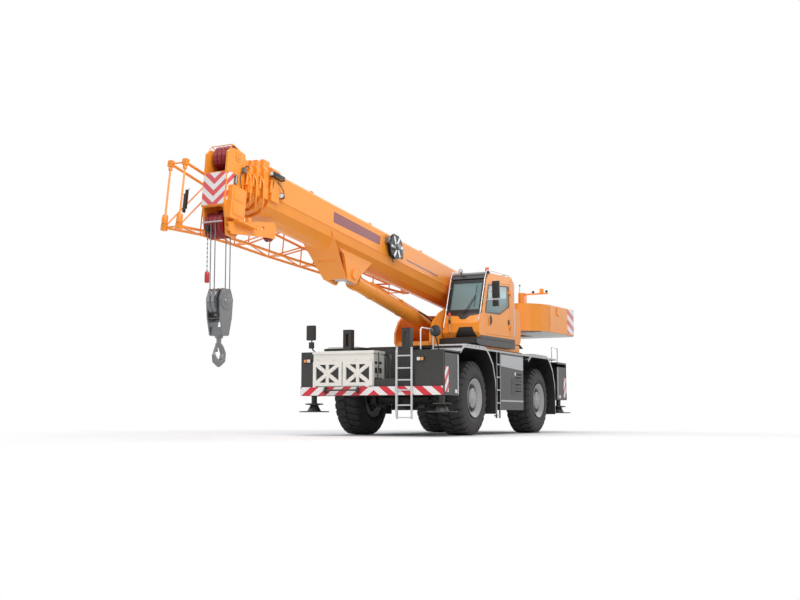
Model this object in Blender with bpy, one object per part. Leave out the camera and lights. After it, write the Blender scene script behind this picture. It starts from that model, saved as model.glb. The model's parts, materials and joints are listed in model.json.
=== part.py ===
"""Rough terrain crane: two steered axles, four outriggers, slewing upper works, five-section boom.

Metres, +Z up. The carrier's forward end is -Y and its left side is +X.
The upper works are built in their own slewed frame, the boom in a frame on its foot pin.
"""
import math

import bmesh
import bpy
from mathutils import Matrix, Vector

for old in list(bpy.data.objects):
    bpy.data.objects.remove(old, do_unlink=True)

# Driving dimensions of the carrier
TYRE_R = 0.865
TYRE_W = 0.68
TREAD_DEPTH = 0.045
LUG_PITCHES = 18
BEAD_R = 0.405
RIM_R = 0.45
SPINDLE_R = 0.105
HUB_Z = TYRE_R
WHEELBASE = 4.66
WHEEL_X = 1.31
KINGPIN_X = 0.99
BODY_HALF = 1.77
END_Y = 4.49
FRAME_HALF = 0.50
FRAME_BOTTOM = 1.13
FRAME_TOP = 2.03
HOOD_HALF = 0.775
DECK_Z = 2.03
SKIN = 0.0003
RUN = 0.0009

# Outriggers
BEAM_NEAR_Y = 4.06
BEAM_FAR_Y = 4.29
BEAM_W = 0.20
BEAM_Z0, BEAM_Z1 = 0.953, 1.227
JACK_X = BODY_HALF - 0.12
FLOAT_Z = 0.53
FLOAT_R = 0.345

# Upper works, in the slewed frame
SLEW_DEG = -3.494
RING_TOP = 2.15
PIVOT_V, PIVOT_Z = 1.75, 3.40
BOOM_DEG = 7.291
PLATE_IN, PLATE_OUT = 0.458, 0.508
FOOT_V, FOOT_Z = -0.05, 2.47
CAB_U0, CAB_U1 = 0.545, 1.53
CAB_FLOOR = 2.33
FOOT_PIN_R, CYLINDER_PIN_R, EYE_PIN_R = 0.11, 0.08, 0.07

# Boom, in its own frame: s runs forward along it, h up from the foot pin's line
BOOM_TOP, BOOM_WAIST, BOOM_BOTTOM = 0.47, -0.05, -0.43
BOOM_HALF = 0.43
STEP = 0.048
WALL = 0.022
EYE_S, EYE_H = 6.90, -0.76
BARREL_R = 0.17
HEAD_S = 11.27
TOP_SHEAVE_H, LOW_SHEAVE_H = 0.46, -0.86
CHEEK_IN, CHEEK_OUT = 0.225, 0.265
TOP_SHEAVE_R, LOW_SHEAVE_R, GROOVE = 0.24, 0.25, 0.035
ROPE_R, FALL_PITCH = 0.011, 0.10
ROD_R = 0.115
EYE_PLATE_IN = 0.22
ARM_U = 0.30
JIB_IN, JIB_OUT, JIB_PIPE = 0.60, 0.95, 0.028


# Materials
COLOURS = {
    "orange": ((0.95, 0.42, 0.07), 0.35, 0.0),
    "dark": ((0.06, 0.065, 0.07), 0.5, 0.0),
    "grey": ((0.55, 0.56, 0.57), 0.45, 0.2),
    "rubber": ((0.02, 0.02, 0.02), 0.9, 0.0),
    "rim": ((0.30, 0.31, 0.32), 0.4, 0.4),
    "aluminium": ((0.82, 0.81, 0.77), 0.4, 0.5),
    "steel": ((0.35, 0.36, 0.37), 0.3, 0.9),
    "red": ((0.35, 0.02, 0.03), 0.45, 0.0),
    "glass": ((0.25, 0.38, 0.40), 0.05, 0.0),
    "seat": ((0.05, 0.05, 0.06), 0.8, 0.0),
}


def material(name):
    found = bpy.data.materials.get(name)
    if found:
        return found
    colour, rough, metal = COLOURS[name]
    made = bpy.data.materials.new(name)
    made.use_nodes = True
    bsdf = made.node_tree.nodes["Principled BSDF"]
    bsdf.inputs["Base Color"].default_value = (*colour, 1)
    bsdf.inputs["Roughness"].default_value = rough
    bsdf.inputs["Metallic"].default_value = metal
    return made


# Shapes: each function returns a bmesh in the caller's frame
def prism(outline, axis, lo, hi):
    """Extrude an outline along x, y or z. The outline gives the other two axes in x, y, z order."""
    def place(p, t):
        a, b = p
        return {"x": (t, a, b), "y": (a, t, b), "z": (a, b, t)}[axis]
    bm = bmesh.new()
    low = [bm.verts.new(place(p, lo)) for p in outline]
    high = [bm.verts.new(place(p, hi)) for p in outline]
    count = len(outline)
    bm.faces.new(low)
    bm.faces.new(list(reversed(high)))
    for i in range(count):
        j = (i + 1) % count
        bm.faces.new((low[i], high[i], high[j], low[j]))
    bmesh.ops.recalc_face_normals(bm, faces=bm.faces)
    return bm


def block(x, y, z):
    return prism([(x[0], y[0]), (x[1], y[0]), (x[1], y[1]), (x[0], y[1])], "z", z[0], z[1])


def aim(start, end):
    """Matrix that puts local +Z along start to end, with its origin at start."""
    way = Vector(end) - Vector(start)
    return Matrix.Translation(Vector(start)) @ way.to_track_quat("Z", "Y").to_matrix().to_4x4()


def rod(start, end, radius, sides=16, radius2=None):
    bm = bmesh.new()
    length = (Vector(end) - Vector(start)).length
    bmesh.ops.create_cone(bm, cap_ends=True, segments=sides, radius1=radius,
                          radius2=radius if radius2 is None else radius2, depth=length)
    bmesh.ops.translate(bm, vec=(0, 0, length / 2), verts=bm.verts)
    bmesh.ops.transform(bm, matrix=aim(start, end), verts=bm.verts)
    return bm


def lathe(profile, start, axis, sides=32):
    """Turn a closed profile of (radius, along) points about an axis; a radius of 0 is a pole on it."""
    turn = aim(start, Vector(start) + Vector(axis))
    bm = bmesh.new()
    poles = {j: bm.verts.new(turn @ Vector((0, 0, t))) for j, (r, t) in enumerate(profile) if r == 0}
    rings = []
    for i in range(sides):
        a = 2 * math.pi * i / sides
        out = Vector((math.cos(a), math.sin(a), 0))
        rings.append([poles[j] if j in poles else bm.verts.new(turn @ (out * r + Vector((0, 0, t))))
                      for j, (r, t) in enumerate(profile)])
    count = len(profile)
    for i in range(sides):
        here, following = rings[i], rings[(i + 1) % sides]
        for j in range(count):
            k = (j + 1) % count
            if not (j in poles and k in poles):
                bm.faces.new(list(dict.fromkeys((here[j], following[j], following[k], here[k]))))
    bmesh.ops.recalc_face_normals(bm, faces=bm.faces)
    return bm


def bore(radius, sides):
    """Radius of a faceted hole whose flats clear a round pin of this radius by the skin gap."""
    return (radius + SKIN) / math.cos(math.pi / sides)


def tube(points, radius, sides=6):
    """A bent round bar through the points, mitred at each bend. The radius may be one for each point."""
    bm = bmesh.new()
    path = [Vector(p) for p in points]
    radii = radius if isinstance(radius, (list, tuple)) else [radius] * len(path)
    rings = []
    side = None
    for i, here in enumerate(path):
        ahead = (path[min(i + 1, len(path) - 1)] - path[min(i, len(path) - 2)]).normalized()
        behind = (path[max(i, 1)] - path[max(i - 1, 0)]).normalized()
        way = (ahead + behind).normalized()
        if side is None:
            side = way.orthogonal()
        side = (side - way * side.dot(way)).normalized()
        over = way.cross(side)
        ring = []
        for k in range(sides):
            a = 2 * math.pi * k / sides
            ring.append(bm.verts.new(here + (side * math.cos(a) + over * math.sin(a)) * radii[i]))
        rings.append(ring)
    for first, second in zip(rings, rings[1:]):
        for k in range(sides):
            j = (k + 1) % sides
            bm.faces.new((first[k], first[j], second[j], second[k]))
    bm.faces.new(list(reversed(rings[0])))
    bm.faces.new(rings[-1])
    bmesh.ops.recalc_face_normals(bm, faces=bm.faces)
    return bm


def mirrored(bm):
    """The same shape on the other side of x = 0."""
    other = bm.copy()
    bmesh.ops.scale(other, vec=(-1, 1, 1), verts=other.verts)
    bmesh.ops.reverse_faces(other, faces=other.faces)
    return other


def both(bm):
    return [bm, mirrored(bm)]


def temporary(bm):
    mesh = bpy.data.meshes.new("piece")
    bm.to_mesh(mesh)
    bm.free()
    made = bpy.data.objects.new("piece", mesh)
    bpy.context.collection.objects.link(made)
    return made


def combine(base, pieces, operation):
    """Apply one Boolean after another and leave the result in base."""
    for bm in pieces:
        tool = temporary(bm)
        modifier = base.modifiers.new("boolean", "BOOLEAN")
        modifier.operation = operation
        modifier.object = tool
        modifier.solver = "EXACT"
        shape = base.evaluated_get(bpy.context.evaluated_depsgraph_get())
        result = bpy.data.meshes.new_from_object(shape)
        base.modifiers.clear()
        base.data = result
        bpy.data.objects.remove(tool, do_unlink=True)


def node(name, colour, adds, cuts=(), parent=None, smooth=True):
    """One named sub-part: its adds joined, its cuts taken out, placed in its parent's frame."""
    base = temporary(adds[0])
    combine(base, adds[1:], "UNION")
    combine(base, cuts, "DIFFERENCE")
    base.name = name
    base.data.name = name
    base.data.materials.clear()
    base.data.materials.append(material(colour))
    if smooth:
        base.data.shade_smooth()
        base.data.set_sharp_from_angle(angle=math.radians(35))
    base.parent = parent
    return base


def frame(name, location, parent=None, turn=None):
    made = bpy.data.objects.new(name, None)
    bpy.context.collection.objects.link(made)
    made.location = location
    if turn:
        made.rotation_euler = turn
    made.parent = parent
    return made


# Carrier
def outrigger_cells(end):
    """The two tunnels through one outrigger box; end is -1 at the front, 1 at the rear."""
    cells = []
    for y in (BEAM_NEAR_Y, BEAM_FAR_Y):
        gap = BEAM_W / 2 + RUN
        lo, hi = sorted((end * (y - gap), end * (y + gap)))
        cells.append(block((-1.6, 1.6), (lo, hi), (BEAM_Z0 - RUN, BEAM_Z1 + RUN)))
    return cells


def chassis_frame():
    adds = [block((-FRAME_HALF, FRAME_HALF), (-3.93, 3.93), (FRAME_BOTTOM, 1.27)),
            block((-FRAME_HALF, FRAME_HALF), (-3.53, 1.36), (1.26, FRAME_TOP)),
            block((-FRAME_HALF, FRAME_HALF), (1.35, 3.61), (1.26, 1.45))]
    cuts = []
    for end in (-1, 1):
        box = sorted((end * 3.92, end * 4.43))
        band = sorted((end * 4.42, end * END_Y))
        adds.append(block((-1.50, 1.50), box, (0.90, 1.27)))
        adds.append(block((-BODY_HALF, BODY_HALF), band, (0.90, 1.10)))
        cuts += outrigger_cells(end)
    node("chassis_frame", "dark", adds, cuts)


def front_body():
    """Front cladding with its lamps, the round mirror on the left and the square one on the right."""
    top, low, front = 1.89, 1.27 + SKIN, END_Y - 0.03
    adds = [block((-1.48, 1.48), (-3.90, -3.54), (low, top))]
    for x0, x1 in ((1.08, BODY_HALF), (-BODY_HALF, -1.46)):
        adds.append(block((x0, x1), (-front, -4.43 - SKIN), (1.10 + SKIN, top)))
        adds.append(block((x0, x1), (-front, -3.54), (1.86, top)))
    adds.append(block((1.08, 1.48), (-front, -3.89), (low, top)))
    adds.append(block((-1.48, -1.46), (-front, -3.89), (low, top)))
    # Columns: lamp x, lamp z, half width, half height
    for x, z, half_x, half_z in ((1.23, 1.69, 0.085, 0.045), (-1.60, 1.69, 0.085, 0.045)):
        adds.append(block((x - half_x, x + half_x), (-front - 0.035, -front + 0.01),
                          (z - half_z, z + half_z)))
    adds.append(tube([(1.30, -3.60, 1.87), (1.28, -3.67, 2.10), (1.25, -3.70, 2.24)], 0.016, 6))
    adds.append(rod((1.25, -3.73, 2.35), (1.25, -3.67, 2.35), 0.13, 14, 0.09))
    adds.append(tube([(-1.70, -3.80, 1.87), (-1.74, -4.00, 1.98), (-1.74, -4.06, 2.27)], 0.016, 6))
    adds.append(block((-1.85, -1.64), (-4.09, -4.03), (2.25, 2.53)))
    node("front_body", "dark", adds)


def rear_body():
    low = 1.27 + SKIN
    adds = [block((-1.48, 1.48), (3.62, 4.45), (low, 1.95)),
            block((-BODY_HALF, BODY_HALF), (4.43 + SKIN, 4.46), (1.10 + SKIN, 1.95)),
            block((-BODY_HALF, BODY_HALF), (3.62, 4.46), (1.90, 1.95))]
    node("rear_body", "dark", adds)


def fender_band(shift):
    """Mudguard band over one wheel, as (y, z) points round its outer then its inner edge."""
    outer = [(-3.50, 1.90), (-3.36, 2.00), (-3.17, 2.08), (-2.02, 2.08), (-1.83, 2.03), (-1.68, 1.92),
             (-1.44, 1.70), (-1.27, 1.31), (-1.235, 0.50)]
    inner = [(-1.27, 0.50), (-1.275, 1.02), (-1.32, 1.30), (-1.48, 1.66), (-1.71, 1.87), (-1.85, 1.97),
             (-2.03, 2.02), (-3.16, 2.02), (-3.34, 1.95), (-3.50, 1.84)]
    return [(y + shift, z) for y, z in outer + inner]


def deck(name, side):
    """Walkway of one side with its two mudguards and the boarding ladder between them."""
    low = DECK_Z - 0.04
    adds = [block((0.81, BODY_HALF), (-3.40, 3.54), (low, DECK_Z)),
            block((FRAME_HALF + SKIN, 0.82), (-3.40, 1.30), (low, DECK_Z)),
            prism(fender_band(0), "x", 1.02, BODY_HALF),
            prism(fender_band(WHEELBASE), "x", 1.02, BODY_HALF)]
    rail_y = (-1.20, -0.97)
    for y in rail_y:
        adds.append(block((1.735, BODY_HALF), (y, y + 0.03), (0.40, low + 0.01)))
    for i in range(5):
        z = 0.44 + 0.31 * i
        adds.append(block((1.69, BODY_HALF - 0.005), (rail_y[0] + 0.01, rail_y[1] + 0.02), (z, z + 0.03)))
    if side < 0:
        adds = [mirrored(bm) for bm in adds]
    node(name, "grey", adds)


def side_boxes():
    """Tool box on the left with its louvres and groove; fuel tank with rounded edges on the right."""
    top = DECK_Z - 0.04 - SKIN
    back, front = -0.93, 0.73
    box = block((1.02, BODY_HALF), (back, front), (0.60, top))
    cuts = [block((BODY_HALF - 0.012, 2), (back - 0.1, front + 0.1), (0.80, 0.83))]
    for i in range(6):
        z = 1.06 + 0.085 * i
        slot = [(BODY_HALF - 0.025, z), (BODY_HALF + 0.01, z - 0.015), (BODY_HALF + 0.01, z + 0.035)]
        cuts.append(prism(slot, "y", 0.12, 0.55))
    node("left_toolbox", "dark", [box], cuts)
    end = [(1.02, 0.66), (1.10, 0.60), (BODY_HALF - 0.10, 0.60), (BODY_HALF, 0.72), (BODY_HALF, top - 0.12),
           (BODY_HALF - 0.08, top), (1.02, top)]
    node("right_fuel_tank", "dark", [mirrored(prism(end, "y", back, front))])


def engine():
    """Plain engine mass and the hood over it, with the air intake's pre-cleaner and a slatted tail."""
    node("engine_block", "steel", [block((-0.40, 0.40), (1.75, 3.25), (1.45 + SKIN, 2.05))])
    low = 1.45 + SKIN
    outline = [(1.38, low), (3.60, low), (3.60, 2.16), (3.50, 2.22), (2.76, 2.22), (2.69, 2.10),
               (1.38, 2.10)]
    inside = [(1.41, 1.40), (3.57, 1.40), (3.57, 2.14), (3.48, 2.19), (2.78, 2.19), (2.71, 2.07),
              (1.41, 2.07)]
    half = HOOD_HALF
    adds = [prism(outline, "x", -half, half)]
    adds.append(rod((0.68, 3.25, 2.20), (0.68, 3.25, 2.34), 0.085, 14))
    adds.append(rod((0.68, 3.25, 2.33), (0.68, 3.25, 2.43), 0.21, 16, 0.13))
    slots = []
    for i in range(5):
        y = 2.86 + 0.12 * i
        slots.append(block((-0.62, 0.20), (y, y + 0.05), (2.15, 2.3)))
    node("engine_hood", "dark", adds, [prism(inside, "x", 0.03 - half, half - 0.03)] + slots)


def square_spider(middle, half_x, half_z, centre_z, front, back, bar):
    """Square frame with two crossed spokes and a round boss, as separate overlapping shapes."""
    rim = temporary(block((middle - half_x, middle + half_x), (front, back),
                          (centre_z - half_z, centre_z + half_z)))
    inner_x, inner_z = half_x - bar, half_z - bar
    combine(rim, [block((middle - inner_x, middle + inner_x), (front - 1, back + 1),
                        (centre_z - inner_z, centre_z + inner_z))], "DIFFERENCE")
    square = bmesh.new()
    square.from_mesh(rim.data)
    bpy.data.objects.remove(rim, do_unlink=True)
    reach = Vector((half_x - bar / 2, half_z - bar / 2))
    shapes = [square, rod((middle, front - 0.004, centre_z), (middle, back, centre_z), 0.06, 10)]
    for sign in (1, -1):
        way = Vector((reach.x, sign * reach.y))
        across = Vector((-way.y, way.x)).normalized() * bar / 2
        corners = [way + across, way - across, -way - across, -way + across]
        shapes.append(prism([(middle + c.x, centre_z + c.y) for c in corners], "y", front, back))
    return shapes


def storage_box():
    """Aluminium box across the nose; two square spiders stiffen its front."""
    x0, x1 = -1.45, 0.08
    low, lid = 1.27 + SKIN, 1.84
    face = -END_Y + 0.03
    adds = [block((x0, x1), (face, -3.92), (low, 1.90)),
            block((x0, x1), (face, face + 0.03), (1.10 + SKIN, low + 0.02)),
            block((x0 - 0.008, x1 + 0.02), (-END_Y - 0.01, -3.92), (lid, 1.90))]
    middle = (x0 + x1) / 2
    for side in (-1, 1):
        adds += square_spider(middle + side * 0.385, 0.365, 0.275, 1.395,
                              -END_Y - 0.012, face + 0.01, 0.045)
    node("storage_box", "aluminium", adds)


def boom_rest():
    posts = (-0.91, 0.59)
    adds = [block((-1.03, 0.71), (-3.86, -3.70), (1.89 + SKIN, 1.95))]
    for x in posts:
        adds.append(block((x - 0.105, x + 0.105), (-3.86, -3.70), (1.93, 2.43)))
    cuts = [block((x - 0.035, x + 0.035), (-4, -3), (2.05, 2.33)) for x in posts]
    node("boom_rest", "dark", adds, cuts)


def front_ladder():
    """Ladder on the nose: two rails and their rungs."""
    x0, x1 = 0.66, 1.05
    lo, hi = -END_Y - 0.04, -END_Y - SKIN
    adds = [block((x0, x0 + 0.035), (lo, hi), (0.38, 1.95)),
            block((x1 - 0.035, x1), (lo, hi), (0.38, 1.95))]
    for z in (0.40, 0.67, 1.0, 1.22, 1.48, 1.75):
        adds.append(block((x0 + 0.01, x1 - 0.01), (lo + 0.006, hi - 0.006), (z, z + 0.028)))
    node("front_ladder", "grey", adds)


def axle(name, y):
    """Steered drive axle: differential, tubes, spring seats, yokes, steering cylinder and track rod."""
    out = 0.78
    adds = [rod((-out, y, HUB_Z), (out, y, HUB_Z), 0.15, 14),
            lathe([(0.14, -0.24), (0.255, -0.10), (0.255, 0.10), (0.14, 0.24), (0, 0.24), (0, -0.24)],
                  (0, y, HUB_Z), (1, 0, 0), 12)]
    mount = [block((0.28, 0.42), (y - 0.12, y + 0.12), (HUB_Z, FRAME_BOTTOM - SKIN))]
    arm = KINGPIN_X + 0.07
    half = 0.135 + SKIN
    mount.append(block((0.74, arm), (y - 0.09, y + 0.09), (HUB_Z + half, HUB_Z + 0.21)))
    mount.append(block((0.74, arm), (y - 0.09, y + 0.09), (HUB_Z - 0.21, HUB_Z - half)))
    mount.append(block((0.72, 0.80), (y - 0.09, y + 0.09), (HUB_Z - 0.21, HUB_Z + 0.21)))
    for bm in mount:
        adds += both(bm)
    back = y + (0.26 if y > 0 else -0.26)
    adds.append(rod((-0.60, back, HUB_Z), (0.60, back, HUB_Z), 0.045, 8))
    adds += both(block((0.50, 0.56), (min(y, back), max(y, back)), (HUB_Z - 0.04, HUB_Z + 0.04)))
    node(name, "dark", adds)


def lugged_tyre(name, side, hub):
    """Tyre with two rows of lugs half a pitch apart, joined by a rib round the tread's middle.

    Each pitch has a lug and a gap in both rows. Rings run from the rib over the shoulder to the bead.
    """
    face = TYRE_W / 2
    low = TYRE_R - TREAD_DEPTH
    shoulder, rib = face - 0.07, 0.035
    # Sidewall rings below the lugs' feet: radius, distance from the middle
    wall = [(0.64, face), (RIM_R + 0.02, face - 0.05), (BEAD_R + SKIN * 1.2, face - 0.085)]
    pitch = 2 * math.pi / LUG_PITCHES
    bm = bmesh.new()

    def point(radius, along, angle):
        return bm.verts.new((side * along, radius * math.cos(angle), radius * math.sin(angle)))

    ribs, seats = [], []
    for row in (-1, 1):
        offset = 0 if row < 0 else 0.5
        stations = []
        for i in range(LUG_PITCHES):
            for half in (0, 1):
                a = (i + offset + 0.5 * half) * pitch
                lean = a + (0.22 + (0.08 if half else -0.08)) * pitch
                stations.append({"rib": point(TYRE_R, row * rib, a), "floor": point(low, row * rib, a),
                                 "edge": point(TYRE_R - 0.012, row * shoulder, lean),
                                 "root": point(low, row * shoulder, lean),
                                 "foot": point(0.765, row * (face - 0.012), lean)})
        rings = []
        for radius, along in wall:
            rings.append([point(radius, row * along, i * pitch) for i in range(LUG_PITCHES)])
        for i in range(LUG_PITCHES):
            s, e = stations[2 * i], stations[2 * i + 1]
            n = stations[(2 * i + 2) % len(stations)]
            bm.faces.new((s["rib"], e["rib"], e["edge"], s["edge"]))
            bm.faces.new((s["edge"], e["edge"], e["foot"], s["foot"]))
            bm.faces.new((e["floor"], n["floor"], n["root"], e["root"]))
            bm.faces.new((e["root"], n["root"], n["foot"], e["foot"]))
            bm.faces.new((e["rib"], n["rib"], n["floor"], e["floor"]))
            for q in (s, e):
                bm.faces.new((q["rib"], q["edge"], q["foot"], q["root"], q["floor"]))
            j = (i + 1) % LUG_PITCHES
            bm.faces.new((s["foot"], e["foot"], rings[0][i]))
            bm.faces.new((e["foot"], n["foot"], rings[0][j], rings[0][i]))
            for first, second in zip(rings, rings[1:]):
                bm.faces.new((first[i], first[j], second[j], second[i]))
        ribs.append([q["rib"] for q in stations])
        seats.append(rings[-1])
    count = 2 * LUG_PITCHES
    for k in range(count):
        after = (k + 1) % count
        bm.faces.new((ribs[0][after], ribs[0][(k + 2) % count], ribs[1][after], ribs[1][k]))
    for i in range(LUG_PITCHES):
        j = (i + 1) % LUG_PITCHES
        bm.faces.new((seats[0][i], seats[0][j], seats[1][j], seats[1][i]))
    bmesh.ops.recalc_face_normals(bm, faces=bm.faces)
    node(name, "rubber", [bm], parent=hub)


def wheel(end, side, y):
    """Knuckle, rim and tyre of one corner, each in the frame that carries its joint."""
    corner = ("front" if end < 0 else "rear") + ("_left" if side > 0 else "_right")
    steer = frame(corner + "_steer", (side * KINGPIN_X, y, HUB_Z))
    out = side * (WHEEL_X - KINGPIN_X)
    hub = frame(corner + "_hub", (out, 0, 0), steer)
    knuckle = [rod((0, 0, -0.135), (0, 0, 0.135), 0.14, 14),
               rod((0, 0, 0), (side * 0.40, 0, 0), SPINDLE_R, 14)]
    node(corner + "_knuckle", "dark", knuckle, parent=steer)
    face = TYRE_W / 2
    hole = bore(SPINDLE_R, LUG_PITCHES)
    # Rim profile: (radius, distance outboard of the wheel's middle)
    rim = [(hole, -0.11), (0.20, -0.11), (0.22, 0.04), (0.36, 0.05), (0.36, -face + 0.05),
           (RIM_R, -face + 0.01), (BEAD_R, -face + 0.08), (BEAD_R, face - 0.08),
           (RIM_R, face - 0.01), (0.37, face - 0.04),
           (0.35, 0.12), (0.22, 0.14), (0.20, 0.31), (0, 0.33), (0, 0.12), (hole, 0.12)]
    node(corner + "_rim", "rim", [lathe(rim, (0, 0, 0), (side, 0, 0), LUG_PITCHES)], parent=hub)
    lugged_tyre(corner + "_tyre", side, hub)


def outrigger(end, side):
    """One beam with its jack housing and end cover, and the jack inside it."""
    corner = ("front" if end < 0 else "rear") + ("_left" if side > 0 else "_right")
    far = end * side < 0
    y = end * (BEAM_FAR_Y if far else BEAM_NEAR_Y)
    half = BEAM_W / 2
    jack_r = 0.065
    adds = [block((-1.30, JACK_X - 0.03), (y - half, y + half), (BEAM_Z0, BEAM_Z1)),
            block((JACK_X - 0.11, JACK_X + 0.105), (y - half, y + half), (0.90, 1.80))]
    cover = sorted((end * 4.40, end * 3.62))
    adds.append(block((BODY_HALF - 0.04, BODY_HALF), cover, (0.90, 1.82)))
    cuts = [rod((JACK_X, y, 0.8), (JACK_X, y, 1.70), bore(jack_r, 14), 14)]
    # Jack profile: (radius, height)
    jack = lathe([(0, 1.68), (jack_r, 1.68), (jack_r, FLOAT_Z + 0.21), (0.21, FLOAT_Z + 0.20),
                  (0.21, FLOAT_Z + 0.175), (0.09, FLOAT_Z + 0.16), (0.16, FLOAT_Z + 0.03),
                  (FLOAT_R, FLOAT_Z + 0.025), (FLOAT_R, FLOAT_Z), (0, FLOAT_Z)],
                 (JACK_X, y, 0), (0, 0, 1), 14)
    groups = [adds, cuts, [jack]]
    if side < 0:
        groups = [[mirrored(bm) for bm in group] for group in groups]
    node(corner + "_outrigger_beam", "dark", groups[0], groups[1])
    node(corner + "_outrigger_jack", "dark", groups[2])


# Upper works
def slew_ring():
    node("slew_ring", "dark", [lathe([(0.66, FRAME_TOP + SKIN), (0.98, FRAME_TOP + SKIN),
                                      (0.98, RING_TOP), (0.66, RING_TOP)], (0, 0, 0), (0, 0, 1), 28)])


def turntable(upper):
    """Slewing platform: base plate, two boom cheeks with their pins, rear deck, tank and light mast."""
    low = RING_TOP + SKIN
    adds = [block((-PLATE_OUT, PLATE_OUT), (-1.93, 1.30), (low, 2.25)),
            rod((0, 0, low), (0, 0, 2.25), 1.08, 28)]
    plate = prism([(-1.97, 2.20), (-1.97, 2.46), (-1.80, 2.74), (-1.50, 2.96), (-1.17, 3.09), (-0.60, 3.00),
                   (0.9, 3.10), (1.45, 3.58), (1.62, 3.66), (1.90, 3.66), (2.08, 3.50), (2.30, 3.30),
                   (4.20, 3.30), (4.20, 2.80), (2.60, 2.72), (1.25, 2.20)], "x", PLATE_IN, PLATE_OUT)
    adds += both(plate)
    adds.append(rod((-0.5, PIVOT_V, PIVOT_Z), (0.5, PIVOT_V, PIVOT_Z), FOOT_PIN_R, 16))
    adds.append(rod((-0.5, FOOT_V, FOOT_Z), (0.5, FOOT_V, FOOT_Z), CYLINDER_PIN_R, 14))
    adds.append(block((-0.48, 0.48), (2.40, 4.20), (2.80, 2.86)))
    # Tank with rounded ends behind the cab, as (v, z) points
    tank = [(1.16, 2.42), (1.24, 2.32), (1.62, 2.32), (1.70, 2.42), (1.72, 2.95), (1.64, 3.16),
            (1.50, 3.26), (1.32, 3.26), (1.20, 3.16), (1.16, 2.95)]
    adds.append(prism(tank, "x", 0.50, 1.30))
    adds.append(block((0.28, 0.46), (3.97, 4.18), (2.85, 3.98)))
    adds.append(block((0.45, 1.14), (4.04, 4.12), (3.92, 3.96)))
    adds.append(rod((0.96, 4.08, 3.95), (0.96, 4.08, 4.08), 0.06, 10))
    node("turntable", "orange", adds, parent=upper)


def counterweight(upper):
    """Cast weight round the tail, with two forward wings, a joint line and a lifting boss each side."""
    half = [(0.53, 2.15), (1.02, 2.18), (1.30, 2.36), (1.50, 2.66), (1.60, 3.05), (1.60, 4.94),
            (1.55, 5.07), (1.42, 5.13), (1.30, 5.14)]
    outline = half + [(-u, v) for u, v in reversed(half)]
    notch = PLATE_OUT + SKIN
    adds = [prism(outline, "z", 2.76, 3.50)]
    adds += both(rod((1.58, 3.70, 3.37), (1.625, 3.70, 3.37), 0.13, 12))
    cuts = [block((-notch, notch), (1.5, 4.20 + SKIN), (2.0, 4.0))]
    cuts += both(block((1.56, 1.7), (3.05, 3.09), (2.0, 4.0)))
    cuts += both(block((1.585, 1.7), (2.0, 3.06), (2.975, 2.99)))
    node("counterweight", "orange", adds, cuts, parent=upper)


def winch(name, upper, v):
    z = 3.20
    half = PLATE_IN - SKIN
    profile = [(0, -half), (0.08, -half), (0.08, -0.40), (0.27, -0.40), (0.27, -0.36), (0.18, -0.36),
               (0.18, 0.36), (0.27, 0.36), (0.27, 0.40), (0.08, 0.40), (0.08, half), (0, half)]
    node(name, "red", [lathe(profile, (0, v, z), (1, 0, 0), 16)], parent=upper)


# Cab side as (v, z) points: floor, bulged nose, screen, roof and back
CAB_SIDE = [(-1.34, CAB_FLOOR), (-1.42, 2.48), (-1.40, 2.70), (-1.24, 2.94), (-0.96, 3.80),
            (-0.86, 3.92), (-0.72, 3.97), (0.56, 3.99), (0.70, 3.90), (0.75, 3.70), (0.75, CAB_FLOOR)]
DOOR = [(-1.00, 2.45), (-1.12, 2.92), (-0.88, 3.72), (0.44, 3.80), (0.44, 2.45)]
DOOR_WINDOW = [(-1.02, 2.98), (-0.83, 3.66), (0.36, 3.72), (0.36, 3.22), (-0.20, 3.02)]


def inset(outline, gap):
    """The outline moved inward by gap, for a convex outline in either direction."""
    middle = Vector((sum(p[0] for p in outline) / len(outline), sum(p[1] for p in outline) / len(outline)))
    lines = []
    count = len(outline)
    for i in range(count):
        a, b = Vector(outline[i]), Vector(outline[(i + 1) % count])
        normal = Vector((b.y - a.y, a.x - b.x)).normalized()
        if normal.dot(middle - a) < 0:
            normal = -normal
        lines.append((a + normal * gap, b - a))
    points = []
    for i in range(count):
        (p, d), (q, e) = lines[i - 1], lines[i]
        t = (q - p).cross(e) / d.cross(e)
        points.append(tuple(p + d * t))
    return points


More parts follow.
